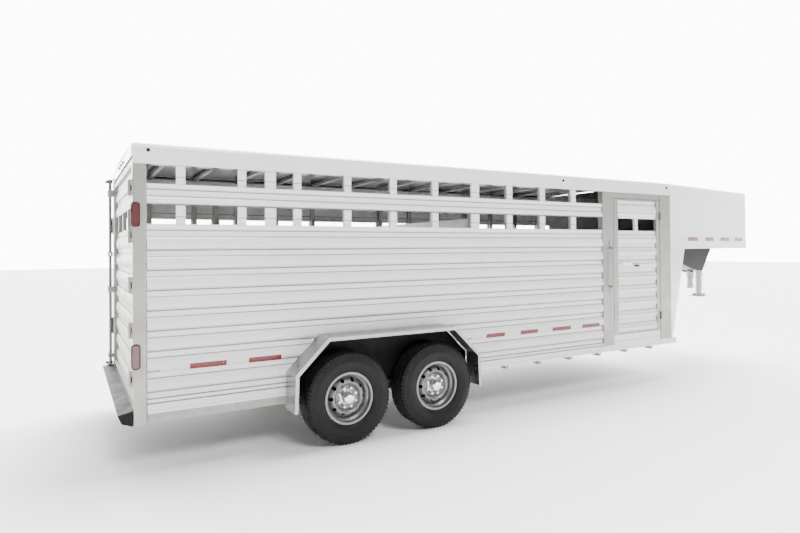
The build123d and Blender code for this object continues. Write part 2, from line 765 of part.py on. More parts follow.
with BuildPart() as hub_pattern:
    with BuildSketch(Plane.XY):
        with BuildLine():
            Polyline(
                (SPINDLE_R + 0.08, 92), (SPINDLE_R + 0.08, 60), (26, 60), (26, -6), (SPINDLE_R + 0.08, -6),
                (SPINDLE_R + 0.08, -28), (60, -28), (60, -20.5), (84, -20.5), (84, -12), (158, -5), (158, 78),
                (150, 78), (150, 0), (98, -9), (70, -9), (48, 30), (48, 92), close=True,
            )
        make_face()
    revolve(axis=SPIN)
    with BuildSketch(Plane.XZ.offset(20)):
        with PolarLocations(BOLT_CIRCLE_R, NUT_COUNT, start_angle=180 / NUT_COUNT):
            Circle(7)
    extrude(amount=28)
    with BuildSketch(Plane.XY):
        with BuildLine():
            Polyline((0, -29), (56, -29), (56, -33), (50, -36), (50, -86), (44, -96), (30, -102), (0, -104), close=True)
        make_face()
    revolve(axis=SPIN)
    with BuildSketch(Plane.XZ.offset(30.4)):
        with PolarLocations(BOLT_CIRCLE_R, NUT_COUNT, start_angle=180 / NUT_COUNT):
            RegularPolygon(13, 6)
            Circle(7.3, mode=Mode.SUBTRACT)
    extrude(amount=20)
    with BuildSketch(Plane.XZ.offset(50)):
        with PolarLocations(BOLT_CIRCLE_R, NUT_COUNT, start_angle=180 / NUT_COUNT):
            Circle(11.5)
    extrude(amount=12, taper=12)


def mounted(pattern, x, y, z, side):
    """A copy of a wheel-end piece at its place; on the left side it is turned to face outward."""
    turn = Rot(0, 0, 180) if side > 0 else Rot(0, 0, 0)
    return Pos(x, y, z) * turn * pattern


WHEEL_ENDS = [
    (f"{end}_{side_name}", at(station), side)
    for end, station in zip(("rear", "front"), WHEEL_STATIONS)
    for side_name, side in (("right", -1), ("left", 1))
]
left_arm = mirror(arm_pattern.part, about=Plane.XZ)
for wheel_end, wheel_x, side in WHEEL_ENDS:
    for pattern, piece in ((tyre_pattern, "tyre"), (rim_pattern, "rim"), (hub_pattern, "hub")):
        fitted = mounted(pattern.part, wheel_x, side * TRACK_HALF, TYRE_R, side)
        fitted.label = f"{piece}_{wheel_end}"
        export_step(fitted, f"parts/{piece}_{wheel_end}.step")
    arm = Pos(wheel_x + ARM_RUN, 0, PIVOT_Z) * (left_arm if side > 0 else arm_pattern.part)
    arm.label = f"torsion_arm_{wheel_end}"
    export_step(arm, f"parts/torsion_arm_{wheel_end}.step")

# Gooseneck: neck, coupler and jack

NECK_POINTS = [(6722, NOSE_BOTTOM), (7522, 1375), (7711, 1315), (7934, 1287), (8156, NOSE_BOTTOM)]
OUTER_TUBE_R = 55.0
SOCKET_R = 44.5
JACK_R = 52.5
with BuildPart() as neck:
    profile = [(at(station), z - 0.5) for station, z in NECK_POINTS]
    for plate_y in (NECK_HALF, -NECK_HALF + 6):
        extrude(outline(Plane.XZ.offset(-plate_y), profile), amount=6)
    for plate_y in (OUTER_TUBE_R + 8, -OUTER_TUBE_R - 2):
        extrude(
            outline(
                Plane.XZ.offset(-plate_y), [
                    (at(7200), NOSE_BOTTOM - 0.5), (at(7522), 1376), (at(8120), 1240),
                    (at(8200), NOSE_BOTTOM - 0.5),
                ]
            ),
            amount=6,
        )
    with BuildSketch(Plane.XZ.offset(-NECK_HALF)):
        with BuildLine():
            Polyline(*profile)
            offset(amount=6, side=Side.LEFT)
        make_face()
    extrude(amount=2 * NECK_HALF)
    upright(at(COUPLER_STATION), 0, (1180, NOSE_BOTTOM + 5), OUTER_TUBE_R + 0.3, mode=Mode.SUBTRACT)
    upright(at(JACK_STATION), JACK_Y, (1180, NOSE_BOTTOM + 5), JACK_R + 0.3, mode=Mode.SUBTRACT)
    block(
        (at(COUPLER_STATION) - 70, at(COUPLER_STATION) + 70), (-OUTER_TUBE_R - 1, OUTER_TUBE_R + 1),
        (1180, NOSE_BOTTOM + 5), mode=Mode.SUBTRACT,
    )
    crosswise(at(JACK_STATION), (JACK_Y + 60, NECK_HALF + 20), 1480, 17, mode=Mode.SUBTRACT)
save(neck, "neck")

with BuildPart() as coupler_tube:
    upright(at(COUPLER_STATION), 0, (1165, NOSE_BOTTOM - 1), OUTER_TUBE_R)
    upright(at(COUPLER_STATION), 0, (1165, 1190), OUTER_TUBE_R + 5)
    upright(at(COUPLER_STATION), 0, (1160, NOSE_BOTTOM - 10), SOCKET_R + 0.5, mode=Mode.SUBTRACT)
    for height in (1210, 1250):
        with Locations(Location((at(COUPLER_STATION) + OUTER_TUBE_R + 8, 0, height), (0, 90, 0))):
            Cylinder(9, 20)
save(coupler_tube, "coupler_tube")

with BuildPart() as coupler_socket:
    upright(at(COUPLER_STATION), 0, (COUPLER_BOTTOM + 12, 1520), SOCKET_R)
    upright(at(COUPLER_STATION), 0, (COUPLER_BOTTOM + 12, COUPLER_BOTTOM + 72), SOCKET_R + 8)
    upright(at(COUPLER_STATION), 0, (COUPLER_BOTTOM, COUPLER_BOTTOM + 58), BALL_BORE_R, mode=Mode.SUBTRACT)
    upright(at(COUPLER_STATION), 0, (COUPLER_BOTTOM + 80, 1525), SOCKET_R - 8, mode=Mode.SUBTRACT)
save(coupler_socket, "coupler_socket")

with BuildPart() as coupler_lock:
    with BuildSketch(Plane.XY.offset(COUPLER_BOTTOM)):
        with Locations((at(COUPLER_STATION), 0)):
            Circle(SOCKET_R + 8)
        with Locations((at(COUPLER_STATION) + 62, 0)):
            Rectangle(60, 24)
        with Locations((at(COUPLER_STATION), 0)):
            Circle(BALL_BORE_R + 4, mode=Mode.SUBTRACT)
        with Locations((at(COUPLER_STATION) + 20, -60)):
            Rectangle(100, 60, mode=Mode.SUBTRACT)
    extrude(amount=11.6)
save(coupler_lock, "coupler_lock")

HOUSING_BOTTOM = 1262.0
CRANK_Z = 1480.0
PIN_Z = 1225.0
with BuildPart() as jack_housing:
    upright(at(JACK_STATION), JACK_Y, (HOUSING_BOTTOM, NOSE_BOTTOM - 1), JACK_R)
    upright(at(JACK_STATION), JACK_Y, (HOUSING_BOTTOM - 5, NOSE_BOTTOM - 12), JACK_R - 5, mode=Mode.SUBTRACT)
    crosswise(at(JACK_STATION), (JACK_Y, JACK_Y + 90), CRANK_Z, 12.4, mode=Mode.SUBTRACT)
save(jack_housing, "jack_housing")

INNER_LEG_R = 46.5
with BuildPart() as jack_inner_leg:
    upright(at(JACK_STATION), JACK_Y, (972, 1600), INNER_LEG_R)
    upright(at(JACK_STATION), JACK_Y, (970, 1595), INNER_LEG_R - 5, mode=Mode.SUBTRACT)
    with Locations(Location((at(JACK_STATION) + INNER_LEG_R, JACK_Y, PIN_Z), (0, 90, 0))):
        Cylinder(9, 30, mode=Mode.SUBTRACT)
save(jack_inner_leg, "jack_inner_leg")

DROP_LEG_R = 40.5
with BuildPart() as jack_drop_leg:
    upright(at(JACK_STATION), JACK_Y, (FOOT_BOTTOM + 12, 1440), DROP_LEG_R)
    upright(at(JACK_STATION), JACK_Y, (FOOT_BOTTOM + 20, 1445), DROP_LEG_R - 5, mode=Mode.SUBTRACT)
    with BuildSketch(Plane.XY.offset(FOOT_BOTTOM)):
        with Locations((at(JACK_STATION), JACK_Y)):
            RectangleRounded(196, 196, 20)
    extrude(amount=12)
    for turn in range(4):
        with Locations(Location((at(JACK_STATION), JACK_Y, FOOT_BOTTOM + 12), (0, 0, 90 * turn + 45))):
            with Locations((62, 0, 18)):
                Box(54, 6, 36)
    with Locations(Location((at(JACK_STATION) + DROP_LEG_R, JACK_Y, PIN_Z), (0, 90, 0))):
        Cylinder(9, 30, mode=Mode.SUBTRACT)
save(jack_drop_leg, "jack_drop_leg")

with BuildPart() as jack_pull_pin:
    with Locations(Location((at(JACK_STATION) + 66, JACK_Y, PIN_Z), (0, 90, 0))):
        Cylinder(8, 48)
    with Locations(Location((at(JACK_STATION) + 92, JACK_Y, PIN_Z), (90, 0, 0))):
        Torus(16, 4)
save(jack_pull_pin, "jack_pull_pin")

CRANK_Y = NECK_HALF + 40
CRANK_ARM = 130.0
with BuildPart() as jack_crank:
    crosswise(at(JACK_STATION), (JACK_Y + JACK_R + 4, CRANK_Y), CRANK_Z, 12)
    block(
        (at(JACK_STATION) - 14, at(JACK_STATION) + 14), (CRANK_Y - 6, CRANK_Y + 6),
        (CRANK_Z - CRANK_ARM - 14, CRANK_Z + 14),
    )
    crosswise(at(JACK_STATION), (CRANK_Y, CRANK_Y + 110), CRANK_Z - CRANK_ARM, 14)
save(jack_crank, "jack_crank")

# Rear bumper, hinges, gate and its lock rod

with BuildPart() as rear_bumper:
    bumper_points = [(-215, 426), (-225, 453), (-123, 474), (-123, 360), (-196, 386)]
    extrude(outline(Plane.XZ.offset(-WALL), [(at(x), z) for x, z in bumper_points]), amount=2 * WALL)
    hollow = [(-207, 430), (-215, 447), (-131, 465), (-131, 371), (-192, 393)]
    extrude(
        outline(Plane.XZ.offset(-WALL - 5), [(at(x), z) for x, z in hollow]), amount=2 * WALL + 10,
        mode=Mode.SUBTRACT,
    )
    for end in (-1, 1):
        extrude(
            outline(Plane.XZ.offset(end * WALL - (6 if end > 0 else 0)), [(at(x), z) for x, z in bumper_points]),
            amount=6,
        )
save(rear_bumper, "rear_bumper")

GATE_HINGE_HEIGHTS = (2130, 1774, 1400, 1060, 698)
DOOR_HINGE_HEIGHTS = (2035, 800)
CENTRE_HINGE_HEIGHTS = (720, 1760)
PIN_R = 8.0
BARREL_R = 13.0


def hinge_pin(x, y, z, height):
    """A hinge pin with the two outer knuckles round it."""
    upright(x, y, (z - height / 2, z + height / 2), PIN_R)
    for sign in (-1, 1):
        upright(x, y, tuple(sorted((z + sign * height / 2, z + sign * height * 0.2))), BARREL_R)


def hinge_knuckle(x, y, z, height):
    """The middle knuckle, bored to turn on the pin."""
    upright(x, y, (z - height * 0.195, z + height * 0.195), BARREL_R)


def pin_bore(x, y, z, height):
    """The bore of a middle knuckle, with running clearance."""
    upright(x, y, (z - height / 2, z + height / 2), PIN_R + 0.08, mode=Mode.SUBTRACT)


gate_x, gate_y = at(GATE_HINGE[0]), GATE_HINGE[1]
door_x, door_y = at(DOOR_HINGE[0]), DOOR_HINGE[1]
centre_x = at(CENTRE_STATION)
with BuildPart() as hinge_brackets:
    for z in GATE_HINGE_HEIGHTS:
        hinge_pin(gate_x, gate_y, z, 120)
        for sign in (-1, 1):
            block(
                (at(POST_REAR) - 6, at(POST_REAR) - 0.5), (gate_y - 70, gate_y - 4),
                tuple(sorted((z + sign * 60, z + sign * 24))),
            )
            block(
                (at(POST_REAR) - 14, at(POST_REAR) - 0.5), (gate_y - 12, gate_y - 6),
                tuple(sorted((z + sign * 60, z + sign * 24))),
            )
    for z in DOOR_HINGE_HEIGHTS:
        hinge_pin(door_x, door_y, z, 90)
        for sign in (-1, 1):
            block(
                (door_x + 3, door_x + 70), (-WALL - 6.5, -WALL - 0.5),
                tuple(sorted((z + sign * 45, z + sign * 18))),
            )
            block(
                (door_x + 3, door_x + 14), (door_y, -WALL - 0.5),
                tuple(sorted((z + sign * 45, z + sign * 18))),
            )
    for z in CENTRE_HINGE_HEIGHTS:
        hinge_pin(centre_x, CENTRE_HINGE_Y, z, 90)
        for sign in (-1, 1):
            block(
                (centre_x - 5, centre_x + 5), (CENTRE_HINGE_Y + 6, INNER_FACE - POST_DEPTH - 0.5),
                tuple(sorted((z + sign * 45, z + sign * 18))),
            )
    for low, high in ((474.5, 479.5), (2400.5, 2404)):
        block((at(POST_REAR) - 62, at(RAIL_REAR) - 1), (ROD_PLACE[1] - 40, ROD_PLACE[1] + 40), (low, high))
save(hinge_brackets, "hinge_brackets")

GATE_X = (GATE_HINGE[0] + 20.0, GATE_HINGE[0] + 20.0 + GATE_TUBE)
with BuildPart() as gate_frame:
    low_y, high_y = GATE_ENDS
    for side_y in ((low_y, low_y + GATE_TUBE), (high_y - GATE_TUBE, high_y)):
        block(span(*GATE_X), side_y, (GATE_BOTTOM, GATE_TOP))
    for rail in (GATE_BOTTOM, GATE_TOP - GATE_TUBE):
        block(span(*GATE_X), GATE_ENDS, (rail, rail + GATE_TUBE))
    for rail in (GATE_BOTTOM, GATE_TOP - GATE_TUBE):
        block(
            span(GATE_X[0] + 3, GATE_X[1] - 3), (low_y + 3, high_y - 3), (rail + 3, rail + GATE_TUBE - 3),
            mode=Mode.SUBTRACT,
        )
    for side_y in ((low_y + 3, low_y + GATE_TUBE - 3), (high_y - GATE_TUBE + 3, high_y - 3)):
        block(span(GATE_X[0] + 3, GATE_X[1] - 3), side_y, (GATE_BOTTOM + 3, GATE_TOP - 3), mode=Mode.SUBTRACT)
save(gate_frame, "gate_frame")

GATE_WINDOW = (1840.0, 2000.0)
GATE_PLANK_BOTTOM = GATE_BOTTOM + GATE_TUBE + 0.4
GATE_PLANK_TOP = GATE_TOP - GATE_TUBE - 0.4


def gate_planks_between(plane, low, high, depth):
    """A stack of flat-bulged planks between two heights, as one section."""
    count = max(1, round((high - low) / PITCH))
    step = (high - low) / count
    with BuildSketch(plane) as stack:
        for n in range(count):
            base = low + n * step
            with BuildLine():
                Line((0, base), (0, base + step - 0.4))
                Polyline((0, base + step - 0.4), (depth * 0.5, base + step - 0.4), (depth * 0.5, base + step - STRIP))
                ThreePointArc(
                    (depth * 0.5, base + step - STRIP), (depth, base + (step - STRIP) / 2), (depth * 0.8, base)
                )
                Line((depth * 0.8, base), (0, base))
            make_face()
            with Locations((depth * 0.36, base + (step - STRIP) / 2 + 4)):
                Rectangle(depth * 0.55, step - STRIP - 14, mode=Mode.SUBTRACT)
    return stack.sketch


gate_plank_plane = Plane(
    origin=(at(GATE_X[1] - 6), GATE_ENDS[0] + GATE_TUBE + 0.3, 0), x_dir=(-1, 0, 0), z_dir=(0, 1, 0)
)
gate_plank_length = GATE_ENDS[1] - GATE_ENDS[0] - 2 * GATE_TUBE - 0.6
with BuildPart() as gate_planks:
    extrude(
        gate_planks_between(gate_plank_plane, GATE_PLANK_BOTTOM, GATE_WINDOW[0], 32), amount=gate_plank_length
    )
    extrude(
        gate_planks_between(gate_plank_plane, GATE_WINDOW[1], GATE_PLANK_TOP, 32), amount=gate_plank_length
    )
    for fraction in (0.25, 0.5, 0.75):
        middle = GATE_ENDS[0] + (GATE_ENDS[1] - GATE_ENDS[0]) * fraction
        block(
            span(GATE_X[0] + 8, GATE_X[1] - 10), (middle - 20, middle + 20),
            (GATE_WINDOW[0] + 0.4, GATE_WINDOW[1] - 0.4),
        )
save(gate_planks, "gate_planks")

ROD_R = 14.0
ROD_GUIDES = ((560, 600), (1230, 1290), (2225, 2290))
with BuildPart() as gate_hinge_leaves:
    for z in GATE_HINGE_HEIGHTS:
        hinge_knuckle(gate_x, gate_y, z, 120)
        block((gate_x - 4, gate_x + 4), (gate_y, gate_y + 30), (z - 23, z + 23))
        block(
            (gate_x - 4, at(GATE_X[0]) - 0.5), (gate_y + 26, gate_y + 110), (z - 23, z + 23),
        )
        pin_bore(gate_x, gate_y, z, 120)
    for low, high in ROD_GUIDES:
        block(
            (at(ROD_PLACE[0]) - 24, at(POST_REAR) - 1), (GATE_ENDS[1] - 60, ROD_PLACE[1] + 26), (low, high),
        )
        block((at(POST_REAR) - 2, at(GATE_X[0]) - 0.5), (GATE_ENDS[1] - 60, GATE_ENDS[1] - 2), (low, high))
        upright(at(ROD_PLACE[0]), ROD_PLACE[1], (low - 5, high + 5), ROD_R + 0.08, mode=Mode.SUBTRACT)
save(gate_hinge_leaves, "gate_hinge_leaves")

ROD_SPAN = (482.0, 2398.0)
with BuildPart() as gate_lock_rod:
    upright(at(ROD_PLACE[0]), ROD_PLACE[1], ROD_SPAN, ROD_R)
    for low, high in ((484, 510), (2368, 2394)):
        upright(at(ROD_PLACE[0]), ROD_PLACE[1], (low, high), ROD_R + 10)
        block(
            (at(ROD_PLACE[0]) - 46, at(ROD_PLACE[0])), (ROD_PLACE[1] - 12, ROD_PLACE[1] + 12), (low, high),
        )
    upright(at(ROD_PLACE[0]), ROD_PLACE[1], (1600, 1650), ROD_R + 9)
    block(
        (at(ROD_PLACE[0]) - 12, at(ROD_PLACE[0]) + 6), (ROD_PLACE[1] - 330, ROD_PLACE[1]), (1612, 1638),
    )
save(gate_lock_rod, "gate_lock_rod")

# Side door

DOOR_STILES = (73.0, 62.0)
DOOR_RAIL = 14.0
DOOR_WINDOWS = (1853.0, 2000.0)
DOOR_DEPTH = (-WALL + 1, -INNER_FACE - 1)
with BuildPart() as door_frame:
    for rails in ((DOOR_X[0], DOOR_X[0] + DOOR_STILES[0]), (DOOR_X[1] - DOOR_STILES[1], DOOR_X[1])):
        tube(span(*rails), DOOR_DEPTH, DOOR_Z, 3, "Z")
    for low, high in ((DOOR_Z[0], DOOR_Z[0] + DOOR_RAIL), (DOOR_Z[1] - DOOR_RAIL, DOOR_Z[1])):
        tube(
            span(DOOR_X[0] + DOOR_STILES[0] + 0.4, DOOR_X[1] - DOOR_STILES[1] - 0.4), DOOR_DEPTH,
            (low, high), 3, "X",
        )
    for z in DOOR_HINGE_HEIGHTS:
        hinge_knuckle(door_x, door_y, z, 90)
        block((door_x - 80, door_x - 6), (-WALL - 6.5, -WALL + 0.5), (z - 17, z + 17))
        block((door_x - 14, door_x - 6), (door_y, -WALL - 0.5), (z - 17, z + 17))
        pin_bore(door_x, door_y, z, 90)
save(door_frame, "door_frame")

door_inside = (DOOR_X[0] + DOOR_STILES[0] + 0.8, DOOR_X[1] - DOOR_STILES[1] - 0.8)
door_plank_plane = Plane(origin=(at(door_inside[1]), -INNER_FACE - 3, 0), x_dir=(0, -1, 0), z_dir=(-1, 0, 0))
with BuildPart() as door_planks:
    for low, high in (
        (DOOR_Z[0] + DOOR_RAIL + 0.4, DOOR_WINDOWS[0]), (DOOR_WINDOWS[1], DOOR_Z[1] - DOOR_RAIL - 0.4)
    ):
        extrude(
            gate_planks_between(door_plank_plane, low, high, 33), amount=door_inside[1] - door_inside[0]
        )
    block(span(5455, 5509), (-WALL + 8, -INNER_FACE - 3), (DOOR_WINDOWS[0] + 0.4, DOOR_WINDOWS[1] - 0.4))
save(door_planks, "door_planks")

LATCH_PLACE = (5232.0, 1458.0)
with BuildPart() as door_latch:
    crosswise(at(LATCH_PLACE[0]), (-WALL - 1, -WALL - 16), LATCH_PLACE[1], 26)
    with BuildSketch(Plane.XZ.offset(WALL + 16)):
        with Locations((at(LATCH_PLACE[0]) + 52, LATCH_PLACE[1])):
            SlotOverall(150, 24)
    extrude(amount=9)
save(door_latch, "door_latch")

# Centre gate across the box

CENTRE_Y = (-955.0, 940.0)
CENTRE_Z = (560.0, 1960.0)
CENTRE_TUBE = 38.0
half_tube = CENTRE_TUBE / 2
with BuildPart() as centre_gate_frame:
    for upright_y in ((CENTRE_Y[0], CENTRE_Y[0] + CENTRE_TUBE), (CENTRE_Y[1] - CENTRE_TUBE, CENTRE_Y[1])):
        tube((centre_x - half_tube, centre_x + half_tube), upright_y, CENTRE_Z, 3, "Z")
    for low in (CENTRE_Z[0], CENTRE_Z[1] - CENTRE_TUBE):
        tube(
            (centre_x - half_tube, centre_x + half_tube),
            (CENTRE_Y[0] + CENTRE_TUBE + 0.4, CENTRE_Y[1] - CENTRE_TUBE - 0.4), (low, low + CENTRE_TUBE), 3, "Y",
        )
    for z in CENTRE_HINGE_HEIGHTS:
        hinge_knuckle(centre_x, CENTRE_HINGE_Y, z, 90)
        block((centre_x - 5, centre_x + 5), (CENTRE_Y[1] - 0.5, CENTRE_HINGE_Y), (z - 17, z + 17))
        pin_bore(centre_x, CENTRE_HINGE_Y, z, 90)
save(centre_gate_frame, "centre_gate_frame")

slat_plane = Plane(origin=(centre_x - 12, CENTRE_Y[1] - CENTRE_TUBE - 0.8, 0), x_dir=(1, 0, 0), z_dir=(0, -1, 0))
with BuildPart() as centre_gate_slats:
    extrude(
        gate_planks_between(slat_plane, CENTRE_Z[0] + CENTRE_TUBE + 0.4, CENTRE_Z[1] - CENTRE_TUBE - 0.4, 24),
        amount=CENTRE_Y[1] - CENTRE_Y[0] - 2 * CENTRE_TUBE - 1.6,
    )
save(centre_gate_slats, "centre_gate_slats")

BOLT_Z = 1300.0
with BuildPart() as centre_gate_latch:
    crosswise(centre_x - half_tube - 14, (-984, -860), BOLT_Z, 9)
    block((centre_x - half_tube - 44, centre_x - half_tube - 8), (-884, -872), (BOLT_Z - 6, BOLT_Z + 6))
save(centre_gate_latch, "centre_gate_latch")

# Lamps, tape, grab handle and fasteners

LAMP_SIZE = (48.0, 168.0)
LAMP_STATION = -102.0
LAMP_HEIGHTS = (1925.0, 870.0)
with BuildPart() as lamps:
    for side in (-1, 1):
        for z in LAMP_HEIGHTS:
            with BuildSketch(Plane.XZ.offset(-side * (WALL + 0.5) if side > 0 else WALL + 0.5)):
                with Locations((at(LAMP_STATION), z)):
                    RectangleRounded(*LAMP_SIZE, 14)
            extrude(amount=-side * 14 if side > 0 else 14)
    for y in (-200, 0, 200):
        with BuildSketch(Plane.YZ.offset(at(RAIL_REAR) - 0.5)):
            with Locations((y, 2425)):
                SlotOverall(64, 22)
        extrude(amount=-12)
    for station, z in ((-12, 2410), (4259, 2400), (6050, 2400)):
        for side in (-1, 1):
            crosswise(at(station), (side * (WALL + 0.5), side * (WALL + 9)), z, 14)
save(lamps, "lamps")

TAPE_THICK = 0.8
REAR_TAPE = [(68, 248), (248, 537), (537, 725), (725, 1012)]
FRONT_TAPE = [
    (2990, 3129), (3129, 3403), (3403, 3593), (3593, 3859), (3859, 4049), (4049, 4352), (4352, 4525),
    (4525, 4818),
]
NOSE_TAPE_START = 442.0
NOSE_TAPE_PITCH = 478.0
NOSE_TAPE_RED = 282.0
NOSE_TAPE_Z = (1733.0, 1784.0)
taped_shoulder = plank_tops[6] - STRIP
taped_bottom = plank_tops[7] + PLANK_GAP
taped_turn = taped_bottom + (taped_shoulder - taped_bottom) * BELLY_TURN


def tape_face(plane):
    """Section of a strip of tape round the curl of the plank's belly."""
    root = -STRIP_FACE - 1
    arcs = []
    with BuildSketch(plane) as face:
        with BuildLine():
            for lift in (0.6, 0.6 + TAPE_THICK):
                arcs.append(
                    EllipticalCenterArc(
                        (root, taped_turn), BELLY_FACE + root + lift, taped_turn - taped_bottom + lift,
                        start_angle=180, arc_size=82,
                    )
                )
            for end in (0, 1):
                Line(arcs[0] @ end, arcs[1] @ end)
        make_face()
    return face.sketch


with BuildPart() as right_tape:
    for low, high in REAR_TAPE + FRONT_TAPE:
        extrude(tape_face(Plane.YZ.offset(at(low + 0.5))), amount=high - low - 1)
    for n in range(4):
        red = NOSE_TAPE_START + NOSE_TAPE_PITCH * n
        for low, high in ((red - NOSE_TAPE_PITCH + NOSE_TAPE_RED + 1, red - 1), (red, red + NOSE_TAPE_RED)):
            with BuildSketch(NOSE_SIDE.offset(RUB_PROUD + 0.5)):
                with Locations(((low + high) / 2, sum(NOSE_TAPE_Z) / 2)):
                    Rectangle(high - low, NOSE_TAPE_Z[1] - NOSE_TAPE_Z[0])
            extrude(amount=TAPE_THICK)
with BuildPart() as reflective_tape:
    add(right_tape.part)
    mirror(right_tape.part, about=Plane.XZ)
save(reflective_tape, "reflective_tape")

HANDLE_X = at(5006)
HANDLE_FEET = ((1106.0, 1208.0), (1632.0, 1748.0))
HANDLE_ENDS = (1192.0, 1648.0)
HANDLE_SCREWS = (1120.0, 1158.0, 1696.0, 1734.0)
HANDLE_REACH = 46.0
with BuildPart() as grab_handle:
    for foot in HANDLE_FEET:
        block((HANDLE_X - 14, HANDLE_X + 14), (-WALL - 5, -WALL - 0.5), foot)
    with BuildLine() as grip_line:
        FilletPolyline(
            (HANDLE_X, -WALL - 4, HANDLE_ENDS[0]), (HANDLE_X, -WALL - HANDLE_REACH, HANDLE_ENDS[0]),
            (HANDLE_X, -WALL - HANDLE_REACH, HANDLE_ENDS[1]), (HANDLE_X, -WALL - 4, HANDLE_ENDS[1]),
            radius=26,
        )
    with BuildSketch(Plane.XZ.offset(WALL + 4)):
        with Locations((HANDLE_X, HANDLE_ENDS[0])):
            Circle(10)
    sweep(path=grip_line.wires()[0])
save(grab_handle, "grab_handle")

SCREW_HEIGHTS = (2284, 1738, 1237, 931, 625)
RIVET_Z = (1654.0, 1692.0)
SHARED_RIVETS = [585.0 + 325.0 * n for n in range(4)] + [1736.0, 1950.0, 2105.0]
LOWER_RIVETS = [72.0, 238.0, 392.0] + SHARED_RIVETS
UPPER_RIVETS = [159.0, 311.0] + SHARED_RIVETS
with BuildPart() as right_fasteners:
    for z in SCREW_HEIGHTS:
        crosswise(at(-32), (-WALL - 0.3, -WALL - 3), z, 5)
    with BuildSketch(NOSE_SIDE.offset(RUB_PROUD + 0.3)):
        for along in LOWER_RIVETS:
            with Locations((along, RIVET_Z[0])):
                Circle(5)
        for along in UPPER_RIVETS:
            with Locations((along, RIVET_Z[1])):
                Circle(5)
    extrude(amount=2.7)
with BuildPart() as panel_fasteners:
    add(right_fasteners.part)
    mirror(right_fasteners.part, about=Plane.XZ)
    for z in HANDLE_SCREWS:
        crosswise(HANDLE_X, (-WALL - 5.3, -WALL - 9), z, 5)
save(panel_fasteners, "panel_fasteners")
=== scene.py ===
from math import cos, pi, radians, sin

import bmesh
import bpy
from mathutils import Matrix, Vector


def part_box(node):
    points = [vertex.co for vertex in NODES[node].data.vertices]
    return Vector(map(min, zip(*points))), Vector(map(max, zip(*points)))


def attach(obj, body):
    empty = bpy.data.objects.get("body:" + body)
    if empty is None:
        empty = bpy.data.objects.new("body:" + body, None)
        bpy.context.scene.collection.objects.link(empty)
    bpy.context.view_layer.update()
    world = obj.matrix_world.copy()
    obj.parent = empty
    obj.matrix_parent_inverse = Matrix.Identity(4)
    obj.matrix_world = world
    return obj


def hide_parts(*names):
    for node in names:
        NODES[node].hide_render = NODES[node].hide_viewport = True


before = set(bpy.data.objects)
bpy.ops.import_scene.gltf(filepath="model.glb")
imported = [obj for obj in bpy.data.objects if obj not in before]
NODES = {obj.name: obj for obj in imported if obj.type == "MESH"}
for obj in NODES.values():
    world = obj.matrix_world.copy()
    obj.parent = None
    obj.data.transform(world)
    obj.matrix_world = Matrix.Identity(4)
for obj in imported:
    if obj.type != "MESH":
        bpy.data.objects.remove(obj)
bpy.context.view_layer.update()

# Places worked out from the frame, in metres

low_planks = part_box("side_planks_right")[0]
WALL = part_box("roof_rails")[1].y
PLANKS_REAR = low_planks.x - 0.001
ENDS = ("rear_right", "rear_left", "front_right", "front_left")


def at(station):
    """X of a distance forward from the rear ends of the side planks."""
    return PLANKS_REAR + 0.023 + station


# Mesh helpers


def piece(name, mesh, material, body, smooth=True, bevel=0.0):
    """One finished object riding on a body, with an optional small bevel."""
    obj = bpy.data.objects.new(name, mesh)
    bpy.context.collection.objects.link(obj)
    mesh.materials.append(material)
    for face in mesh.polygons:
        face.use_smooth = smooth
    if bevel:
        edge = obj.modifiers.new("edge_round", "BEVEL")
        edge.width = bevel
        edge.segments = 2
        edge.limit_method = "ANGLE"
        edge.angle_limit = radians(35)
        obj.modifiers.new("weighted", "WEIGHTED_NORMAL")
    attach(obj, body)
    return obj


def mesh_from(bm, name):
    bmesh.ops.recalc_face_normals(bm, faces=bm.faces)
    mesh = bpy.data.meshes.new(name)
    bm.to_mesh(mesh)
    bm.free()
    return mesh


def lathe(bm, profile, segments, centre, shape=None, closed=True):
    """Turn a profile of (radius, y) points about the wheel's axis, along Y.

    shape(index, radius, y, angle) may change a point's radius and y."""
    rows = []
    for k in range(segments):
        angle = 2 * pi * k / segments
        row = []
        for index, (radius, y) in enumerate(profile):
            if shape:
                radius, y = shape(index, radius, y, angle)
            row.append(bm.verts.new((
                centre[0] + radius * cos(angle), centre[1] + y, centre[2] + radius * sin(angle),
            )))
        rows.append(row)
    count = len(profile)
    for k in range(segments):
        here, there = rows[k], rows[(k + 1) % segments]
        for i in range(count if closed else count - 1):
            j = (i + 1) % count
            bm.faces.new((here[i], here[j], there[j], there[i]))
    return rows


# Shared shader groups


def new_group(name, inputs, outputs):
    group = bpy.data.node_groups.new(name, "ShaderNodeTree")
    for label, kind, value in inputs:
        socket = group.interface.new_socket(label, in_out="INPUT", socket_type=kind)
        if value is not None:
            socket.default_value = value
    for label, kind in outputs:
        group.interface.new_socket(label, in_out="OUTPUT", socket_type=kind)
    nodes = group.nodes
    return group, nodes.new("NodeGroupInput"), nodes.new("NodeGroupOutput")


def link(group, a, b):
    group.links.new(a, b)


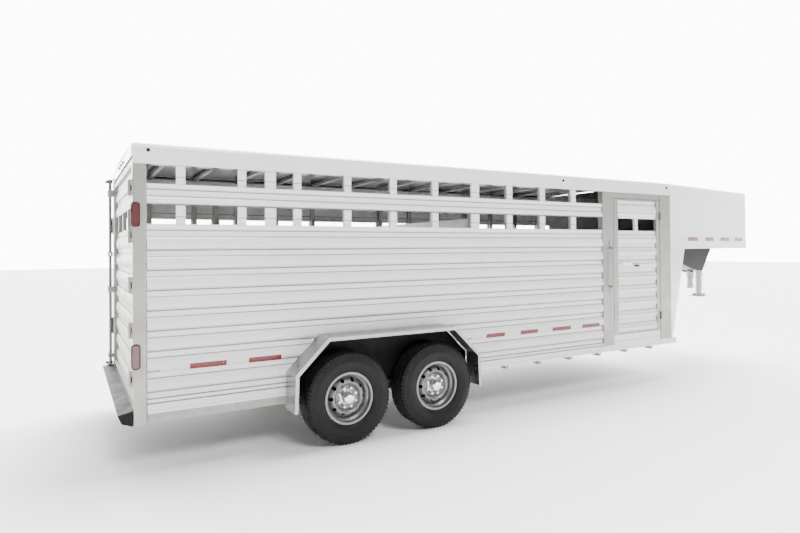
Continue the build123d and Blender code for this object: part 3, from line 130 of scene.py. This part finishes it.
def build_mottle():
    """Slow colour and roughness change over a surface, from object coordinates."""
    group, start, end = new_group(
        "surface_mottle",
        [
            ("Colour", "NodeSocketColor", (0.8, 0.8, 0.8, 1)),
            ("Shade", "NodeSocketColor", (0.6, 0.6, 0.6, 1)),
            ("Scale", "NodeSocketFloat", 3.0), ("Amount", "NodeSocketFloat", 0.3),
            ("Rough Low", "NodeSocketFloat", 0.3), ("Rough High", "NodeSocketFloat", 0.5),
        ],
        [("Colour", "NodeSocketColor"), ("Roughness", "NodeSocketFloat")],
    )
    nodes = group.nodes
    coord = nodes.new("ShaderNodeTexCoord")
    big = nodes.new("ShaderNodeTexNoise")
    big.inputs["Detail"].default_value = 6.0
    big.inputs["Roughness"].default_value = 0.6
    ramp = nodes.new("ShaderNodeMapRange")
    ramp.inputs["From Min"].default_value = 0.35
    ramp.inputs["From Max"].default_value = 0.7
    times = nodes.new("ShaderNodeMath")
    times.operation = "MULTIPLY"
    mix = nodes.new("ShaderNodeMix")
    mix.data_type = "RGBA"
    rough = nodes.new("ShaderNodeMapRange")
    link(group, coord.outputs["Object"], big.inputs["Vector"])
    link(group, start.outputs["Scale"], big.inputs["Scale"])
    link(group, big.outputs["Fac"], ramp.inputs["Value"])
    link(group, ramp.outputs["Result"], times.inputs[0])
    link(group, start.outputs["Amount"], times.inputs[1])
    link(group, times.outputs[0], mix.inputs["Factor"])
    link(group, start.outputs["Colour"], mix.inputs["A"])
    link(group, start.outputs["Shade"], mix.inputs["B"])
    link(group, ramp.outputs["Result"], rough.inputs["Value"])
    link(group, start.outputs["Rough Low"], rough.inputs["To Min"])
    link(group, start.outputs["Rough High"], rough.inputs["To Max"])
    link(group, mix.outputs["Result"], end.inputs["Colour"])
    link(group, rough.outputs["Result"], end.inputs["Roughness"])
    return group


def build_grain():
    """Drawn or rolled grain: noise stretched by a scale per axis, as a normal."""
    group, start, end = new_group(
        "drawn_grain",
        [
            ("Scale", "NodeSocketVector", (4.0, 300.0, 300.0)), ("Strength", "NodeSocketFloat", 0.1),
            ("Depth", "NodeSocketFloat", 0.0005),
        ],
        [("Normal", "NodeSocketVector"), ("Mask", "NodeSocketFloat")],
    )
    nodes = group.nodes
    coord = nodes.new("ShaderNodeTexCoord")
    scale = nodes.new("ShaderNodeVectorMath")
    scale.operation = "MULTIPLY"
    noise = nodes.new("ShaderNodeTexNoise")
    noise.inputs["Scale"].default_value = 1.0
    noise.inputs["Detail"].default_value = 4.0
    bump = nodes.new("ShaderNodeBump")
    link(group, coord.outputs["Object"], scale.inputs[0])
    link(group, start.outputs["Scale"], scale.inputs[1])
    link(group, scale.outputs["Vector"], noise.inputs["Vector"])
    link(group, noise.outputs["Fac"], bump.inputs["Height"])
    link(group, start.outputs["Strength"], bump.inputs["Strength"])
    link(group, start.outputs["Depth"], bump.inputs["Distance"])
    link(group, bump.outputs["Normal"], end.inputs["Normal"])
    link(group, noise.outputs["Fac"], end.inputs["Mask"])
    return group


def build_road_film():
    """A thin film of road dust that fades out with height, patchy with noise."""
    group, start, end = new_group(
        "road_film",
        [
            ("Colour", "NodeSocketColor", (0.8, 0.8, 0.8, 1)),
            ("Film", "NodeSocketColor", (0.45, 0.42, 0.37, 1)),
            ("Top", "NodeSocketFloat", 1.0), ("Amount", "NodeSocketFloat", 0.2),
        ],
        [("Colour", "NodeSocketColor"), ("Mask", "NodeSocketFloat")],
    )
    nodes = group.nodes
    coord = nodes.new("ShaderNodeTexCoord")
    split = nodes.new("ShaderNodeSeparateXYZ")
    height = nodes.new("ShaderNodeMapRange")
    height.inputs["From Min"].default_value = 0.0
    height.inputs["To Min"].default_value = 1.0
    height.inputs["To Max"].default_value = 0.0
    noise = nodes.new("ShaderNodeTexNoise")
    noise.inputs["Scale"].default_value = 9.0
    noise.inputs["Detail"].default_value = 8.0
    one = nodes.new("ShaderNodeMath")
    one.operation = "MULTIPLY"
    two = nodes.new("ShaderNodeMath")
    two.operation = "MULTIPLY"
    mix = nodes.new("ShaderNodeMix")
    mix.data_type = "RGBA"
    link(group, coord.outputs["Object"], split.inputs["Vector"])
    link(group, split.outputs["Z"], height.inputs["Value"])
    link(group, start.outputs["Top"], height.inputs["From Max"])
    link(group, coord.outputs["Object"], noise.inputs["Vector"])
    link(group, height.outputs["Result"], one.inputs[0])
    link(group, noise.outputs["Fac"], one.inputs[1])
    link(group, one.outputs[0], two.inputs[0])
    link(group, start.outputs["Amount"], two.inputs[1])
    link(group, two.outputs[0], mix.inputs["Factor"])
    link(group, start.outputs["Colour"], mix.inputs["A"])
    link(group, start.outputs["Film"], mix.inputs["B"])
    link(group, mix.outputs["Result"], end.inputs["Colour"])
    link(group, two.outputs[0], end.inputs["Mask"])
    return group


def build_curl_shade():
    """Painted shade: darkens faces that point downward, and paints a fine dark shadow line repeated up a wall
    at the planks' pitch.
    """
    group, start, end = new_group(
        "curl_shade",
        [
            ("Colour", "NodeSocketColor", (0.8, 0.8, 0.8, 1)),
            ("Shade", "NodeSocketColor", (0.05, 0.05, 0.05, 1)),
            ("Under", "NodeSocketFloat", 0.9), ("Line Place", "NodeSocketFloat", 0.0),
            ("Line Pitch", "NodeSocketFloat", 1.0), ("Line Amount", "NodeSocketFloat", 0.0),
        ],
        [("Colour", "NodeSocketColor")],
    )
    nodes = group.nodes
    surface = nodes.new("ShaderNodeNewGeometry")
    facing = nodes.new("ShaderNodeSeparateXYZ")
    under = nodes.new("ShaderNodeMapRange")
    under.interpolation_type = "SMOOTHSTEP"
    under.inputs["From Min"].default_value = 0.0
    under.inputs["From Max"].default_value = -0.85
    coord = nodes.new("ShaderNodeTexCoord")
    split = nodes.new("ShaderNodeSeparateXYZ")
    offset, ratio, part, middle, far = [nodes.new("ShaderNodeMath") for _ in range(5)]
    offset.operation = "SUBTRACT"
    ratio.operation = "DIVIDE"
    part.operation = "FRACT"
    middle.operation = "SUBTRACT"
    middle.inputs[1].default_value = 0.5
    far.operation = "ABSOLUTE"
    line = nodes.new("ShaderNodeMapRange")
    line.inputs["From Min"].default_value = 0.465
    line.inputs["From Max"].default_value = 0.49
    both = nodes.new("ShaderNodeMath")
    both.operation = "MAXIMUM"
    mix = nodes.new("ShaderNodeMix")
    mix.data_type = "RGBA"
    link(group, surface.outputs["Normal"], facing.inputs["Vector"])
    link(group, facing.outputs["Z"], under.inputs["Value"])
    link(group, start.outputs["Under"], under.inputs["To Max"])
    link(group, coord.outputs["Object"], split.inputs["Vector"])
    link(group, split.outputs["Z"], offset.inputs[0])
    link(group, start.outputs["Line Place"], offset.inputs[1])
    link(group, offset.outputs[0], ratio.inputs[0])
    link(group, start.outputs["Line Pitch"], ratio.inputs[1])
    link(group, ratio.outputs[0], part.inputs[0])
    link(group, part.outputs[0], middle.inputs[0])
    link(group, middle.outputs[0], far.inputs[0])
    link(group, far.outputs[0], line.inputs["Value"])
    link(group, start.outputs["Line Amount"], line.inputs["To Max"])
    link(group, under.outputs["Result"], both.inputs[0])
    link(group, line.outputs["Result"], both.inputs[1])
    link(group, both.outputs[0], mix.inputs["Factor"])
    link(group, start.outputs["Colour"], mix.inputs["A"])
    link(group, start.outputs["Shade"], mix.inputs["B"])
    link(group, mix.outputs["Result"], end.inputs["Colour"])
    return group


# Pitch and height of the painted shadow line at the planks' shoulders
PLANK_PITCH = 0.1524
SHOULDER_HEIGHT = 1.7625
MOTTLE = build_mottle()
# Shader group that paints shade on downward faces and shadow lines at the plank shoulders
PAINTED_CURL_SHADE = build_curl_shade()
GRAIN = build_grain()
FILM = build_road_film()


def place(tree, group, **values):
    node = tree.nodes.new("ShaderNodeGroup")
    node.node_tree = group
    for label, value in values.items():
        node.inputs[label.replace("_", " ")].default_value = value
    return node


def finish(name, colour, shade, rough, metallic, mottle_scale=3.0, mottle=0.3, grain=(4.0, 300.0, 300.0),
           grain_strength=0.1, grain_depth=0.0005, film=0.0, film_top=1.0, film_colour=(0.45, 0.42, 0.37, 1),
           coat=0.0, coat_rough=0.1, specular=0.5, under=0.0, line=0.0):
    """A material from the shared groups; rough is the lowest and highest roughness."""
    material = bpy.data.materials.new(name)
    material.use_nodes = True
    tree = material.node_tree
    shader = tree.nodes["Principled BSDF"]
    base = place(
        tree, MOTTLE, Colour=(*colour, 1), Shade=(*shade, 1), Scale=mottle_scale, Amount=mottle,
        Rough_Low=rough[0], Rough_High=rough[1],
    )
    grained = place(tree, GRAIN, Scale=grain, Strength=grain_strength, Depth=grain_depth)
    colour_out = base.outputs["Colour"]
    if film:
        dusty = place(tree, FILM, Film=film_colour, Top=film_top, Amount=film)
        tree.links.new(colour_out, dusty.inputs["Colour"])
        colour_out = dusty.outputs["Colour"]
    # Painted shade: under darkens downward faces towards near-black, and line paints a dark shadow line at
    # each plank shoulder
    if under or line:
        shaded = place(
            tree, PAINTED_CURL_SHADE, Under=under, Line_Place=SHOULDER_HEIGHT, Line_Pitch=PLANK_PITCH, Line_Amount=line,
            Shade=(0.02, 0.02, 0.019, 1),
        )
        tree.links.new(colour_out, shaded.inputs["Colour"])
        colour_out = shaded.outputs["Colour"]
    tree.links.new(colour_out, shader.inputs["Base Color"])
    tree.links.new(base.outputs["Roughness"], shader.inputs["Roughness"])
    tree.links.new(grained.outputs["Normal"], shader.inputs["Normal"])
    shader.inputs["Metallic"].default_value = metallic
    shader.inputs["Coat Weight"].default_value = coat
    shader.inputs["Coat Roughness"].default_value = coat_rough
    shader.inputs["Specular IOR Level"].default_value = specular
    return material


# Plank paint with painted shade: near-black on the downward faces of the plank curls, and a painted shadow
# line at each plank shoulder
white_paint = finish(
    "white_plank_paint", (0.74, 0.742, 0.74), (0.66, 0.662, 0.66), (0.22, 0.32), 0.0, 1.6, 0.5,
    (1.2, 40.0, 40.0), 0.12, 0.0006, 0.12, 0.8, (0.6, 0.58, 0.54, 1), 0.4, 0.1, under=0.97, line=0.72,
)
# Fascia and roof paint with painted shade on downward faces, such as the roof's underside
fascia_paint = finish(
    "white_fascia_paint", (0.72, 0.723, 0.727), (0.66, 0.664, 0.668), (0.18, 0.26), 0.0, 1.2, 0.4,
    (1.5, 8.0, 8.0), 0.1, 0.001, coat=0.5, coat_rough=0.06, under=0.97,
)
mill_finish = finish(
    "mill_finish_aluminium", (0.36, 0.352, 0.328), (0.28, 0.273, 0.252), (0.36, 0.52), 0.85, 5.0, 0.55,
    (220.0, 220.0, 3.0), 0.16, 0.0006, 0.15, 1.2, (0.3, 0.28, 0.24, 1),
)
# Lengthwise mill finish with painted shade on downward faces, such as the undersides of the roof bows
mill_lengthwise = finish(
    "mill_finish_lengthwise", (0.34, 0.333, 0.312), (0.27, 0.263, 0.243), (0.34, 0.5), 0.85, 5.0, 0.5,
    (3.0, 220.0, 220.0), 0.16, 0.0006, 0.15, 1.2, (0.3, 0.28, 0.24, 1), under=0.9,
)
fender_sheet = finish(
    "fender_sheet", (0.36, 0.36, 0.355), (0.26, 0.26, 0.256), (0.22, 0.38), 0.9, 2.2, 0.6,
    (6.0, 160.0, 60.0), 0.12, 0.0005, 0.1, 0.9, (0.35, 0.33, 0.3, 1),
)
bright_sheet = finish(
    "front_wall_sheet", (0.6, 0.59, 0.565), (0.47, 0.46, 0.44), (0.2, 0.36), 0.92, 1.4, 0.7,
    (40.0, 6.0, 3.0), 0.1, 0.0008,
)
floor_boards = finish(
    "worn_floor_boards", (0.42, 0.42, 0.41), (0.3, 0.29, 0.27), (0.4, 0.62), 0.8, 9.0, 0.7,
    (5.0, 120.0, 120.0), 0.3, 0.001,
)
black_enamel = finish(
    "black_enamel", (0.003, 0.003, 0.0032), (0.007, 0.007, 0.007), (0.28, 0.45), 0.0, 6.0, 0.5,
    (60.0, 60.0, 60.0), 0.15, 0.0006, coat=0.15, coat_rough=0.2, specular=0.25,
)
underside_black = finish(
    "underside_coating", (0.004, 0.004, 0.004), (0.01, 0.0095, 0.009), (0.55, 0.8), 0.0, 12.0, 0.6,
    (120.0, 120.0, 120.0), 0.5, 0.0012, specular=0.2,
)
zinc_plate = finish(
    "zinc_plate", (0.4, 0.407, 0.407), (0.29, 0.29, 0.283), (0.25, 0.42), 0.9, 14.0, 0.6,
    (60.0, 60.0, 8.0), 0.15, 0.0005,
)
rod_steel = finish(
    "weathered_rod_steel", (0.16, 0.16, 0.16), (0.26, 0.26, 0.25), (0.32, 0.5), 0.85, 22.0, 0.6,
    (180.0, 180.0, 12.0), 0.2, 0.0005,
)
rim_silver = finish(
    "wheel_silver", (0.2, 0.203, 0.206), (0.15, 0.153, 0.156), (0.3, 0.42), 0.55, 18.0, 0.45,
    (300.0, 300.0, 300.0), 0.15, 0.0003, coat=0.35, coat_rough=0.15,
)
chrome = finish(
    "bright_chrome", (0.78, 0.78, 0.79), (0.6, 0.6, 0.62), (0.07, 0.16), 1.0, 30.0, 0.3,
    (20.0, 20.0, 20.0), 0.03, 0.0003,
)
tyre_rubber = finish(
    "tyre_rubber", (0.0035, 0.0035, 0.0037), (0.008, 0.0078, 0.0075), (0.42, 0.6), 0.0, 12.0, 0.5,
    (260.0, 260.0, 260.0), 0.25, 0.0006, specular=0.22,
)
bumper_rubber = finish(
    "bumper_rubber", (0.004, 0.004, 0.0042), (0.009, 0.009, 0.009), (0.5, 0.7), 0.0, 9.0, 0.5,
    (200.0, 200.0, 200.0), 0.35, 0.001, specular=0.2,
)
lamp_bezel = finish(
    "lamp_bezel_rubber", (0.003, 0.003, 0.003), (0.008, 0.008, 0.008), (0.45, 0.6), 0.0, 20.0, 0.4,
    (300.0, 300.0, 300.0), 0.2, 0.0004,
)
FLANGE_OUTSIDE = 1.199


def build_hub():
    """Dark casting, with the cap and nuts outboard of the flange in bright chrome."""
    material = finish(
        "drum_and_bright_cap", (0.012, 0.012, 0.012), (0.03, 0.026, 0.022), (0.5, 0.7), 0.0, 25.0, 0.7,
        (240.0, 240.0, 240.0), 0.3, 0.0006, specular=0.3,
    )
    tree = material.node_tree
    shader = tree.nodes["Principled BSDF"]
    casting = shader.inputs["Base Color"].links[0].from_socket
    dull = shader.inputs["Roughness"].links[0].from_socket
    coord = tree.nodes.new("ShaderNodeTexCoord")
    split = tree.nodes.new("ShaderNodeSeparateXYZ")
    outward = tree.nodes.new("ShaderNodeMath")
    outward.operation = "ABSOLUTE"
    bright = tree.nodes.new("ShaderNodeMath")
    bright.operation = "GREATER_THAN"
    bright.inputs[1].default_value = FLANGE_OUTSIDE
    colour = tree.nodes.new("ShaderNodeMix")
    colour.data_type = "RGBA"
    colour.inputs["B"].default_value = (0.82, 0.82, 0.83, 1)
    rough = tree.nodes.new("ShaderNodeMapRange")
    rough.inputs["To Max"].default_value = 0.1
    tree.links.new(coord.outputs["Object"], split.inputs["Vector"])
    tree.links.new(split.outputs["Y"], outward.inputs[0])
    tree.links.new(outward.outputs[0], bright.inputs[0])
    tree.links.new(bright.outputs[0], colour.inputs["Factor"])
    tree.links.new(casting, colour.inputs["A"])
    tree.links.new(colour.outputs["Result"], shader.inputs["Base Color"])
    tree.links.new(bright.outputs[0], shader.inputs["Metallic"])
    tree.links.new(bright.outputs[0], rough.inputs["Value"])
    tree.links.new(dull, rough.inputs["To Min"])
    tree.links.new(rough.outputs["Result"], shader.inputs["Roughness"])
    return material


def build_lens():
    """Red moulded lens: dark clear red with fine vertical flutes."""
    material = bpy.data.materials.new("red_lamp_lens")
    material.use_nodes = True
    tree = material.node_tree
    shader = tree.nodes["Principled BSDF"]
    base = place(
        tree, MOTTLE, Colour=(0.08, 0.001, 0.002, 1), Shade=(0.045, 0.0006, 0.001, 1), Scale=30.0, Amount=0.5,
        Rough_Low=0.08, Rough_High=0.16,
    )
    coord = tree.nodes.new("ShaderNodeTexCoord")
    flutes = tree.nodes.new("ShaderNodeTexWave")
    flutes.bands_direction = "Z"
    flutes.inputs["Scale"].default_value = 38.0
    bump = tree.nodes.new("ShaderNodeBump")
    bump.inputs["Strength"].default_value = 0.35
    bump.inputs["Distance"].default_value = 0.0008
    tree.links.new(coord.outputs["Object"], flutes.inputs["Vector"])
    tree.links.new(flutes.outputs["Fac"], bump.inputs["Height"])
    tree.links.new(bump.outputs["Normal"], shader.inputs["Normal"])
    tree.links.new(base.outputs["Colour"], shader.inputs["Base Color"])
    tree.links.new(base.outputs["Roughness"], shader.inputs["Roughness"])
    shader.inputs["Coat Weight"].default_value = 1.0
    shader.inputs["Coat Roughness"].default_value = 0.03
    return material


REAR_RED = ((0.248, 0.537), (0.725, 1.012))
FRONT_RED = ((3.129, 3.403), (3.593, 3.859), (4.049, 4.352), (4.525, 4.818))
NOSE_START = 6.122
NOSE_SLANT = cos(radians(8.3))
NOSE_RED = tuple(
    (NOSE_START + (0.442 + 0.478 * n) * NOSE_SLANT, NOSE_START + (0.724 + 0.478 * n) * NOSE_SLANT)
    for n in range(4)
)


def build_tape():
    """Reflective tape in red and silver lengths: fine sealed cells under a glossy face."""
    material = bpy.data.materials.new("reflective_tape_face")
    material.use_nodes = True
    tree = material.node_tree
    shader = tree.nodes["Principled BSDF"]
    coord = tree.nodes.new("ShaderNodeTexCoord")
    split = tree.nodes.new("ShaderNodeSeparateXYZ")
    along = tree.nodes.new("ShaderNodeMapRange")
    along.inputs["From Min"].default_value = at(0.0)
    along.inputs["From Max"].default_value = at(9.0)
    lengths = tree.nodes.new("ShaderNodeValToRGB")
    ramp = lengths.color_ramp
    ramp.interpolation = "CONSTANT"
    ramp.elements[0].color = (0.7, 0.71, 0.72, 1)
    ramp.elements[1].position = 1.0
    for low, high in REAR_RED + FRONT_RED + NOSE_RED:
        ramp.elements.new(low / 9.0).color = (0.15, 0.001, 0.002, 1)
        ramp.elements.new(high / 9.0).color = (0.7, 0.71, 0.72, 1)
    cells = tree.nodes.new("ShaderNodeTexVoronoi")
    cells.feature = "DISTANCE_TO_EDGE"
    cells.inputs["Scale"].default_value = 140.0
    edge = tree.nodes.new("ShaderNodeMapRange")
    edge.inputs["From Max"].default_value = 0.12
    edge.inputs["To Min"].default_value = 0.72
    mix = tree.nodes.new("ShaderNodeMix")
    mix.data_type = "RGBA"
    mix.blend_type = "MULTIPLY"
    mix.inputs["Factor"].default_value = 1.0
    bump = tree.nodes.new("ShaderNodeBump")
    bump.inputs["Strength"].default_value = 0.2
    bump.inputs["Distance"].default_value = 0.0004
    tree.links.new(coord.outputs["Object"], split.inputs["Vector"])
    tree.links.new(split.outputs["X"], along.inputs["Value"])
    tree.links.new(along.outputs["Result"], lengths.inputs["Fac"])
    tree.links.new(coord.outputs["Object"], cells.inputs["Vector"])
    tree.links.new(cells.outputs["Distance"], edge.inputs["Value"])
    tree.links.new(lengths.outputs["Color"], mix.inputs["A"])
    tree.links.new(edge.outputs["Result"], mix.inputs["B"])
    tree.links.new(mix.outputs["Result"], shader.inputs["Base Color"])
    tree.links.new(edge.outputs["Result"], bump.inputs["Height"])
    tree.links.new(bump.outputs["Normal"], shader.inputs["Normal"])
    shader.inputs["Roughness"].default_value = 0.25
    shader.inputs["Coat Weight"].default_value = 0.3
    return material


hub_metal = build_hub()
red_lens = build_lens()
tape_face = build_tape()

# Finishes for the carried-over structure

NODE_FINISH = {
    "side_planks_right": white_paint, "side_planks_left": white_paint, "side_sills": white_paint,
    "roof_rails": fascia_paint, "roof_skin": fascia_paint, "nose_cap": fascia_paint,
    "nose_skin": fascia_paint, "nose_rub_rail": fascia_paint, "door_planks": white_paint,
    "wall_posts": mill_finish, "rear_frame": mill_finish, "door_posts": mill_finish,
    "door_frame": mill_finish, "hinge_brackets": mill_finish, "grab_handle": mill_finish,
    "gate_frame": mill_finish, "gate_planks": mill_lengthwise, "gate_hinge_leaves": mill_finish,
    "centre_gate_frame": mill_finish, "centre_gate_slats": mill_lengthwise, "roof_bows": mill_lengthwise,
    "crossmembers": mill_lengthwise, "nose_floor": mill_lengthwise, "front_wall": bright_sheet,
    "fenders": fender_sheet, "floor_planks": floor_boards, "wheel_boxes": underside_black,
    "axle_beams": underside_black, "neck": black_enamel, "coupler_tube": zinc_plate,
    "coupler_socket": zinc_plate, "coupler_lock": rod_steel, "jack_housing": zinc_plate,
    "jack_inner_leg": zinc_plate, "jack_drop_leg": zinc_plate, "jack_crank": zinc_plate,
    "jack_pull_pin": rod_steel, "rear_bumper": bumper_rubber, "gate_lock_rod": rod_steel,
    "door_latch": chrome, "centre_gate_latch": rod_steel, "lamps": red_lens, "reflective_tape": tape_face,
    "panel_fasteners": zinc_plate,
}
for end in ENDS:
    NODE_FINISH[f"rim_{end}"] = rim_silver
    NODE_FINISH[f"hub_{end}"] = hub_metal
    NODE_FINISH[f"torsion_arm_{end}"] = underside_black
for node, material in NODE_FINISH.items():
    mesh = NODES[node].data
    mesh.materials.clear()
    mesh.materials.append(material)

# Tyres

WHEEL_CENTRE_OUT = 1.1715
TYRE_RADIUS = 0.391
TREAD_PITCHES = 68
GROOVES = (-0.056, -0.019, 0.019, 0.056)
GROOVE_HALF = 0.0045
GROOVE_DEEP = 0.009
TREAD_HALF = 0.088
SHOULDER_LUGS = 0.074


def tyre_outline():
    """Half-section of a tyre as (radius, y), outer sidewall first, with the tread's grooves."""
    wall = [
        (0.2255, -0.0905), (0.2262, -0.1005), (0.232, -0.1045), (0.240, -0.1055), (0.243, -0.1085),
        (0.262, -0.1130), (0.285, -0.1160), (0.300, -0.1168), (0.303, -0.1174), (0.309, -0.1174),
        (0.312, -0.1164), (0.333, -0.1145), (0.351, -0.1090), (0.356, -0.1085), (0.366, -0.1040),
        (0.378, -0.0970),
    ]
    tread = [(crown(-TREAD_HALF), -TREAD_HALF), (crown(-SHOULDER_LUGS), -SHOULDER_LUGS)]
    for groove in GROOVES:
        low, high = groove - GROOVE_HALF, groove + GROOVE_HALF
        tread += [
            (crown(low), low), (crown(low) - GROOVE_DEEP, low + 0.001),
            (crown(high) - GROOVE_DEEP, high - 0.001), (crown(high), high),
        ]
    tread += [(crown(SHOULDER_LUGS), SHOULDER_LUGS), (crown(TREAD_HALF), TREAD_HALF)]
    return wall + tread + [(r, -y) for r, y in reversed(wall)]


def crown(y):
    """Radius of the tread, slightly rounded across."""
    return TYRE_RADIUS - 0.5 * y * y


def tread_shape(index, radius, y, angle):
    """Cut the shoulders into lugs and the ribs by fine sipes."""
    if radius < 0.362:
        return radius, y
    step = (angle / (2 * pi) * TREAD_PITCHES + (0.5 if y > 0 else 0.0) + 4 * abs(y)) % 1.0
    if abs(y) >= SHOULDER_LUGS - 0.001:
        return radius - (0.008 if step < 0.28 else 0.0), y
    if radius > crown(y) - 0.002 and step < 0.1:
        return radius - 0.004, y
    return radius, y


for end in ENDS:
    low_corner, high_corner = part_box(f"rim_{end}")
    hub_side = 1 if high_corner.y > 0 else -1
    centre = (
        (low_corner.x + high_corner.x) / 2, hub_side * WHEEL_CENTRE_OUT,
        (low_corner.z + high_corner.z) / 2,
    )
    bm = bmesh.new()
    lathe(bm, tyre_outline(), TREAD_PITCHES * 6, centre, tread_shape)
    name = f"tyre_cover_{end}"
    tyre = piece(name, mesh_from(bm, name), tyre_rubber, f"wheel_{end}")
    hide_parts(f"tyre_{end}")

# Tail lamp bezels and the side door's grip


def rounded_ring(bm, x, z, half_x, half_z, radius, band, near, far, side):
    """A rubber rim round a lamp: a raised rounded frame standing on the wall at one side."""
    loops = []
    crest = far + 0.0025
    for grow, depth in ((0.0, near), (0.0, far), (0.3, crest), (0.7, crest), (1.0, far), (1.0, near)):
        loop = []
        for corner in range(4):
            cx = x + (half_x - radius) * (1 if corner in (0, 3) else -1)
            cz = z + (half_z - radius) * (1 if corner in (0, 1) else -1)
            for k in range(7):
                turn = pi / 2 * (corner + k / 6)
                r = radius + grow * band
                loop.append(
                    bm.verts.new((cx + r * cos(turn), side * (WALL + depth), cz + r * sin(turn)))
                )
        loops.append(loop)
    count = len(loops[0])
    for a, b in zip(loops, loops[1:] + loops[:1]):
        for k in range(count):
            nxt = (k + 1) % count
            bm.faces.new((a[k], a[nxt], b[nxt], b[k]))


LAMP_X = at(-0.102)
bm = bmesh.new()
for lamp_side in (-1, 1):
    for height in (1.925, 0.870):
        rounded_ring(bm, LAMP_X, height, 0.0245, 0.0845, 0.014, 0.008, 0.0004, 0.0125, lamp_side)
piece("tail_lamp_rims", mesh_from(bm, "tail_lamp_rims"), lamp_bezel, "trailer_frame")

GRIP_REACH = (5.423, 5.508)
GRIP_HEIGHT = 1.431
GRIP_STANDS_OFF = 0.0135
bm = bmesh.new()
sections = []
for k in range(17):
    t = k / 16
    thick = 0.0125 * (0.55 + 0.45 * sin(pi * min(1.0, 0.12 + t * 0.8)) ** 0.5)
    x = at(GRIP_REACH[0] + (GRIP_REACH[1] - GRIP_REACH[0]) * t)
    sections.append([
        bm.verts.new((
            x, -WALL - GRIP_STANDS_OFF - 0.75 * thick * cos(2 * pi * m / 14),
            GRIP_HEIGHT + thick * sin(2 * pi * m / 14),
        ))
        for m in range(14)
    ])
for a, b in zip(sections, sections[1:]):
    for m in range(14):
        bm.faces.new((a[m], a[(m + 1) % 14], b[(m + 1) % 14], b[m]))
bm.faces.new(sections[0])
bm.faces.new(list(reversed(sections[-1])))
piece("door_pull_grip", mesh_from(bm, "door_pull_grip"), lamp_bezel, "side_door")

# Floor, light and camera

EXTENT = 60.0
floor_mesh = bpy.data.meshes.new("studio_floor")
floor_mesh.from_pydata(
    [(-EXTENT, -EXTENT, 0), (EXTENT, -EXTENT, 0), (EXTENT, EXTENT, 0), (-EXTENT, EXTENT, 0)], [],
    [(0, 1, 2, 3)],
)
studio_floor = bpy.data.objects.new("studio_floor", floor_mesh)
bpy.context.collection.objects.link(studio_floor)
floor_mesh.materials.append(finish(
    "pale_studio_floor", (0.9, 0.9, 0.9), (0.88, 0.88, 0.88), (0.8, 0.9), 0.0, 0.5, 0.4, (3.0, 3.0, 3.0), 0.02,
))

world = bpy.data.worlds.new("studio_air")
bpy.context.scene.world = world
world.use_nodes = True
air = world.node_tree
backdrop = air.nodes["Background"]
backdrop.inputs["Color"].default_value = (1.0, 1.0, 1.0, 1)
# The backdrop wall, past the trailer's left side, is lit far more strongly than the room
direction = air.nodes.new("ShaderNodeTexCoord")
toward = air.nodes.new("ShaderNodeVectorMath")
toward.operation = "DOT_PRODUCT"
toward.inputs[1].default_value = (0.5, 0.85, 0.0)
wash = air.nodes.new("ShaderNodeMapRange")
wash.interpolation_type = "SMOOTHSTEP"
wash.inputs["From Min"].default_value = 0.1
wash.inputs["From Max"].default_value = 0.6
wash.inputs["To Min"].default_value = 0.28
wash.inputs["To Max"].default_value = 12.0
air.links.new(direction.outputs["Generated"], toward.inputs[0])
air.links.new(toward.outputs["Value"], wash.inputs["Value"])
air.links.new(wash.outputs["Result"], backdrop.inputs["Strength"])


def soft_sun(name, toward_light, spread, power):
    """A broad, distant light shining from a direction."""
    lamp = bpy.data.lights.new(name, "SUN")
    lamp.angle = radians(spread)
    lamp.energy = power
    obj = bpy.data.objects.new(name, lamp)
    bpy.context.collection.objects.link(obj)
    obj.rotation_euler = (-Vector(toward_light)).to_track_quat("-Z", "Y").to_euler()
    return obj


soft_sun("overhead_bank", (0.35, 0.15, 1.0), 28.0, 5.4)
soft_sun("side_bank", (0.15, -1.0, 1.1), 22.0, 2.4)

CAMERA_PLACE = Vector((-4.6402, -5.7365, 1.6497))
CAMERA_YAW, CAMERA_PITCH, CAMERA_ROLL = radians(29.466), radians(0.591), radians(-0.462)
forward = Vector((
    sin(CAMERA_YAW) * cos(CAMERA_PITCH), cos(CAMERA_YAW) * cos(CAMERA_PITCH), sin(CAMERA_PITCH)
))
flat_right = Vector((cos(CAMERA_YAW), -sin(CAMERA_YAW), 0))
flat_up = flat_right.cross(forward)
right = flat_right * cos(CAMERA_ROLL) + flat_up * sin(CAMERA_ROLL)
upward = flat_up * cos(CAMERA_ROLL) - flat_right * sin(CAMERA_ROLL)
camera_data = bpy.data.cameras.new("view_camera")
camera_data.lens = 26.006
camera_data.sensor_width = 36.0
camera_data.shift_x = 0.0061
camera_data.shift_y = -0.0287
camera_data.clip_end = 200.0
camera = bpy.data.objects.new("view_camera", camera_data)
bpy.context.collection.objects.link(camera)
camera.matrix_world = Matrix((
    (right.x, upward.x, -forward.x, CAMERA_PLACE.x),
    (right.y, upward.y, -forward.y, CAMERA_PLACE.y),
    (right.z, upward.z, -forward.z, CAMERA_PLACE.z),
    (0, 0, 0, 1),
))
bpy.context.scene.camera = camera
